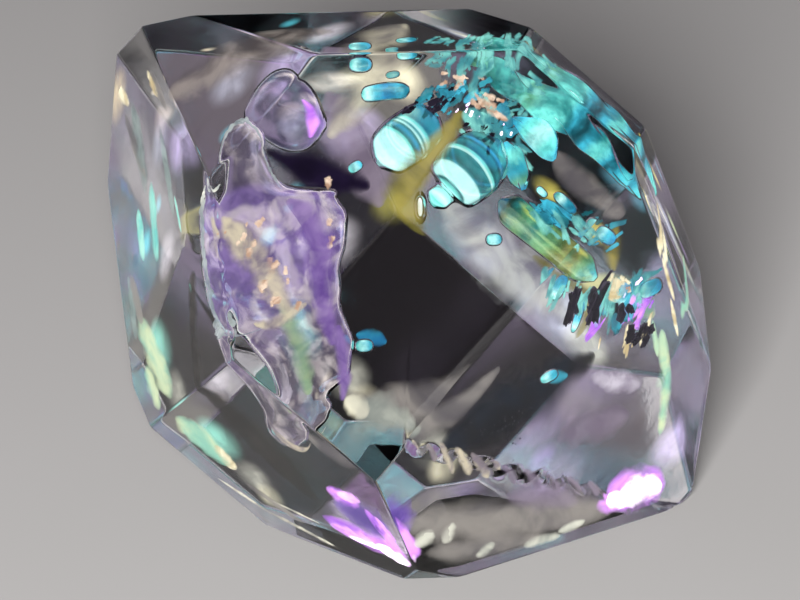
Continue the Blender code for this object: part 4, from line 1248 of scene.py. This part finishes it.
# Soft glows just under the faces, where the camera sees them: painted light, as painted highlights, hot spots
# and painted reflections of the oils, in place of the light seen there through the faces. Each: finish, slot,
# depth, and strokes between two places, each (x, y, x, y, half width).
SEEN_GLOWS = {
    # Painted hot spots: a violet glow round a white core.
    "hot_glow": ("violet_glow", "glowing_oil", 0.6, (
        (4.1, -4.25, 5.4, -4.05, 0.6), (3.85, -4.5, 4.7, -4.45, 0.25),
    )),
    "hot_core": ("white_glow", "glowing_oil", 0.16, (
        (4.35, -4.3, 5.3, -4.1, 0.44), (4.1, -4.35, 4.6, -4.4, 0.24),
    )),
    "lower_left_violet": ("deep_violet", "glowing_oil", 0.75, ((-1.35, -4.15, -0.25, -5.0, 0.6),)),
    "lower_left_glow": ("violet_glow", "glowing_oil", 0.5, (
        (-1.5, -4.0, -0.8, -4.4, 0.3), (-1.6, -4.6, 0.15, -5.45, 0.36), (-0.75, -4.4, 0.0, -5.35, 0.16),
    )),
    "lower_left_pink": ("pink_glow", "glowing_oil", 0.2, (
        (-1.3, -4.1, -0.8, -4.3, 0.2), (-1.45, -4.75, -0.5, -5.2, 0.24), (-0.55, -4.55, -0.1, -5.1, 0.09),
    )),
    "lower_left_core": ("white_glow", "glowing_oil", 0.12, (
        (-1.1, -5.0, -0.3, -5.3, 0.13), (-0.55, -5.15, 0.2, -5.6, 0.26),
    )),
    "aqua_veil_left": ("grey_aqua", "clear_quartz", 0.45, (
        (-5.35, 3.7, -5.05, 1.7, 0.28), (-4.75, 3.2, -4.45, 1.2, 0.16), (-5.5, 0.2, -5.35, -1.2, 0.2),
    )),
    # Painted reflections of the cyan oil along the left edge.
    "cyan_streaks": ("bright_aqua", "glowing_oil", 0.5, (
        (-4.95, 2.05, -4.85, 0.35, 0.2), (-5.25, 1.5, -5.15, 0.4, 0.18), (-4.45, 1.75, -4.3, 0.95, 0.06),
        (-4.15, 0.0, -4.1, -0.2, 0.06),
    )),
    "pale_left": ("grey_haze", "glowing_oil", 0.4, (
        (-5.55, 3.5, -5.05, 2.0, 0.2), (-4.95, 4.2, -4.55, 3.3, 0.16), (-5.45, 0.2, -5.2, -0.9, 0.2),
        (-3.2, -3.95, -1.9, -4.85, 0.12), (-3.4, -4.35, -2.2, -5.2, 0.1),
    )),
    "gold_left": ("gold_glow", "yellow_oil", 0.4, (
        (-5.75, 4.05, -5.4, 3.5, 0.22), (-5.0, 4.2, -4.75, 3.6, 0.14), (-3.75, -3.2, -3.3, -3.75, 0.24),
    )),
    "aqua_left": ("green_haze", "glowing_oil", 0.5, (
        (-5.3, -0.6, -4.5, -2.5, 0.5), (-5.15, -1.6, -4.85, -2.6, 0.3), (-4.65, -2.5, -3.5, -3.5, 0.46),
        (-4.4, -2.9, -3.3, -3.7, 0.3),
    )),
    "pale_band": ("pale_lilac", "clear_quartz", 0.5, (
        (3.7, -1.85, 4.85, -2.05, 0.3),
    )),
    "under_window": ("faint_cream", "clear_quartz", 0.9, (
        (-0.9, -2.35, -0.1, -2.75, 0.55), (-0.4, -2.6, 0.4, -2.9, 0.3),
    )),
    "under_window_core": ("bright_cream", "clear_quartz", 0.7, ((-1.1, -2.2, -0.65, -2.6, 0.26),)),
    "lower_left_rim": ("rim_light", "clear_quartz", 0.2, (
        (-3.75, -3.9, -2.6, -4.65, 0.07), (-2.75, -4.55, -1.25, -5.3, 0.08), (-2.6, -4.35, -1.6, -4.8, 0.05),
    )),
    "lilac_low": ("lilac_haze", "clear_quartz", 0.5, (
        (2.0, -4.2, 3.6, -4.4, 0.36), (3.0, -3.1, 4.6, -2.6, 0.5),
    )),
    "gold_right": ("gold_glow", "yellow_oil", 0.25, (
        (4.95, 1.6, 5.15, 0.5, 0.07), (5.15, 0.6, 5.4, -0.4, 0.06), (5.05, 1.2, 5.2, 0.2, 0.05),
        (5.3, -0.3, 5.5, -1.1, 0.05),
    )),
    "green_right": ("green_haze", "glowing_oil", 0.4, (
        (5.15, -0.9, 5.3, -2.0, 0.14), (5.35, -1.6, 5.2, -3.1, 0.17), (5.55, 0.6, 5.7, -0.7, 0.1),
        (4.95, -0.7, 5.1, -1.5, 0.08),
    )),
    "ledge_teeth_light": ("cream_haze", "clear_quartz", 0.35, (
        (0.75, -3.1, 1.0, -3.75, 0.12), (1.05, -3.2, 1.35, -3.8, 0.14), (1.35, -3.3, 1.7, -3.85, 0.13),
        (0.5, -3.15, 0.65, -3.5, 0.08), (1.75, -3.45, 1.95, -3.75, 0.09), (0.2, -3.05, 0.35, -3.3, 0.07),
    )),
    "ledge_teeth_violet": ("lilac_haze", "clear_quartz", 0.35, (
        (2.0, -3.6, 2.25, -4.0, 0.14), (2.4, -3.65, 2.75, -4.1, 0.15), (2.85, -3.8, 3.15, -4.2, 0.14),
        (3.3, -3.85, 3.6, -4.25, 0.13), (3.75, -3.95, 3.95, -4.3, 0.12),
    )),
    "bottom_glints": ("faint_cream", "clear_quartz", 0.3, (
        (0.25, -5.2, 0.62, -4.85, 0.24), (0.82, -5.15, 1.02, -4.7, 0.19), (1.45, -5.45, 1.85, -5.15, 0.16),
        (2.4, -5.25, 3.2, -5.05, 0.2), (3.1, -5.0, 3.7, -4.75, 0.14),
    )),
    "bottom_milk": ("grey_haze", "clear_quartz", 0.55, (
        (-0.1, -4.7, 3.4, -4.75, 0.62), (1.6, -4.6, 4.3, -4.6, 0.5), (0.4, -5.35, 3.2, -5.1, 0.42),
    )),
}
for name, (finish, slot, depth, strokes) in SEEN_GLOWS.items():
    ragged = uneven(STROKE_UNEVENNESS, seed=len(name), pace=STROKE_PACE)
    bodies = [body_inside(stroke(*places, depth, ragged)) for places in strokes]
    add_piece(name, bodies, [HAZE_OF[finish]]).visible_glossy = False


# ---- stage ----
def pale_floor():
    """A square floor, wide enough to fill the view."""
    mesh = bpy.data.meshes.new("floor")
    corners = [(x * FLOOR_REACH, y * FLOOR_REACH, 0.0) for x, y in ((-1, -1), (1, -1), (1, 1), (-1, 1))]
    mesh.from_pydata(corners, [], [(0, 1, 2, 3)])
    mesh.materials.append(new_finish("pale_floor", FLOOR_COLOUR, 0.0, FLOOR_IOR, FLOOR_ROUGHNESS)[0])
    place_object("floor", mesh)


def direction(azimuth, elevation):
    """The way towards a light, in degrees; azimuth 0 is the camera's side and 90 the right."""
    a, e = math.radians(azimuth), math.radians(elevation)
    return (math.sin(a) * math.cos(e), -math.cos(a) * math.cos(e), math.sin(e))


def soft_light(name, azimuth, elevation, distance, size, power, colour):
    """A rectangular panel that faces the crystal."""
    lamp = bpy.data.lights.new(name, "AREA")
    lamp.shape = "RECTANGLE"
    lamp.size, lamp.size_y = size
    lamp.energy = power
    lamp.color = colour
    made = place_object(name, lamp)
    way = Vector(direction(azimuth, elevation))
    made.location = way * distance + Vector(LIGHTS_AIM)
    made.rotation_euler = way.to_track_quat("Z", "Y").to_euler()
    made.visible_transmission = False
    made.visible_glossy = False


def studio_air():
    """A dim surround with soft patches of light in it, each fading out at its half width."""
    world = bpy.data.worlds.new("studio")
    world.use_nodes = True
    tree = world.node_tree
    way = add_node(tree, "ShaderNodeTexCoord").outputs["Generated"]
    total = SURROUND_SHADE
    for azimuth, elevation, inner, outer, colour in SURROUND:
        near = vector_math_node(tree, "DOT_PRODUCT", way, direction(azimuth, elevation))
        fade = soft_step(tree, near, math.cos(math.radians(outer)), math.cos(math.radians(inner)))
        total = mixed(tree, fade, total, colour)
    on_floor = add_node(tree, "ShaderNodeLightPath").outputs["Is Diffuse Ray"]
    background = tree.nodes["Background"].inputs
    feed(tree, background["Strength"], between(tree, on_floor, 1.0, FILL_SHARE))
    feed(tree, background["Color"], total)
    bpy.context.scene.world = world


def camera():
    """The camera, with the point it aims at in the middle of its picture."""
    data = bpy.data.cameras.new("camera")
    data.lens, data.sensor_width = CAMERA_LENS, SENSOR
    data.clip_start, data.clip_end = CLIPPING
    made = place_object("camera", data)
    aim = CENTRE + np.array([AIM[0], 0.0, 0.0]) + CAMERA_UP * AIM[1]
    made.location = Vector((aim + CAMERA_BACK * (FIELD_WIDTH * CAMERA_LENS / SENSOR)) * MM)
    made.rotation_euler = Vector(CAMERA_BACK).to_track_quat("Z", "Y").to_euler()
    bpy.context.scene.camera = made


pale_floor()
soft_light("key", **KEY_LIGHT)
studio_air()
camera()
scene = bpy.context.scene
scene.view_settings.view_transform = "Standard"
scene.cycles.use_denoising = True
scene.cycles.max_bounces = LIGHT_BOUNCES
scene.cycles.transmission_bounces = LIGHT_BOUNCES
scene.cycles.glossy_bounces = GLOSSY_BOUNCES
scene.cycles.caustics_refractive = False
scene.cycles.caustics_reflective = False
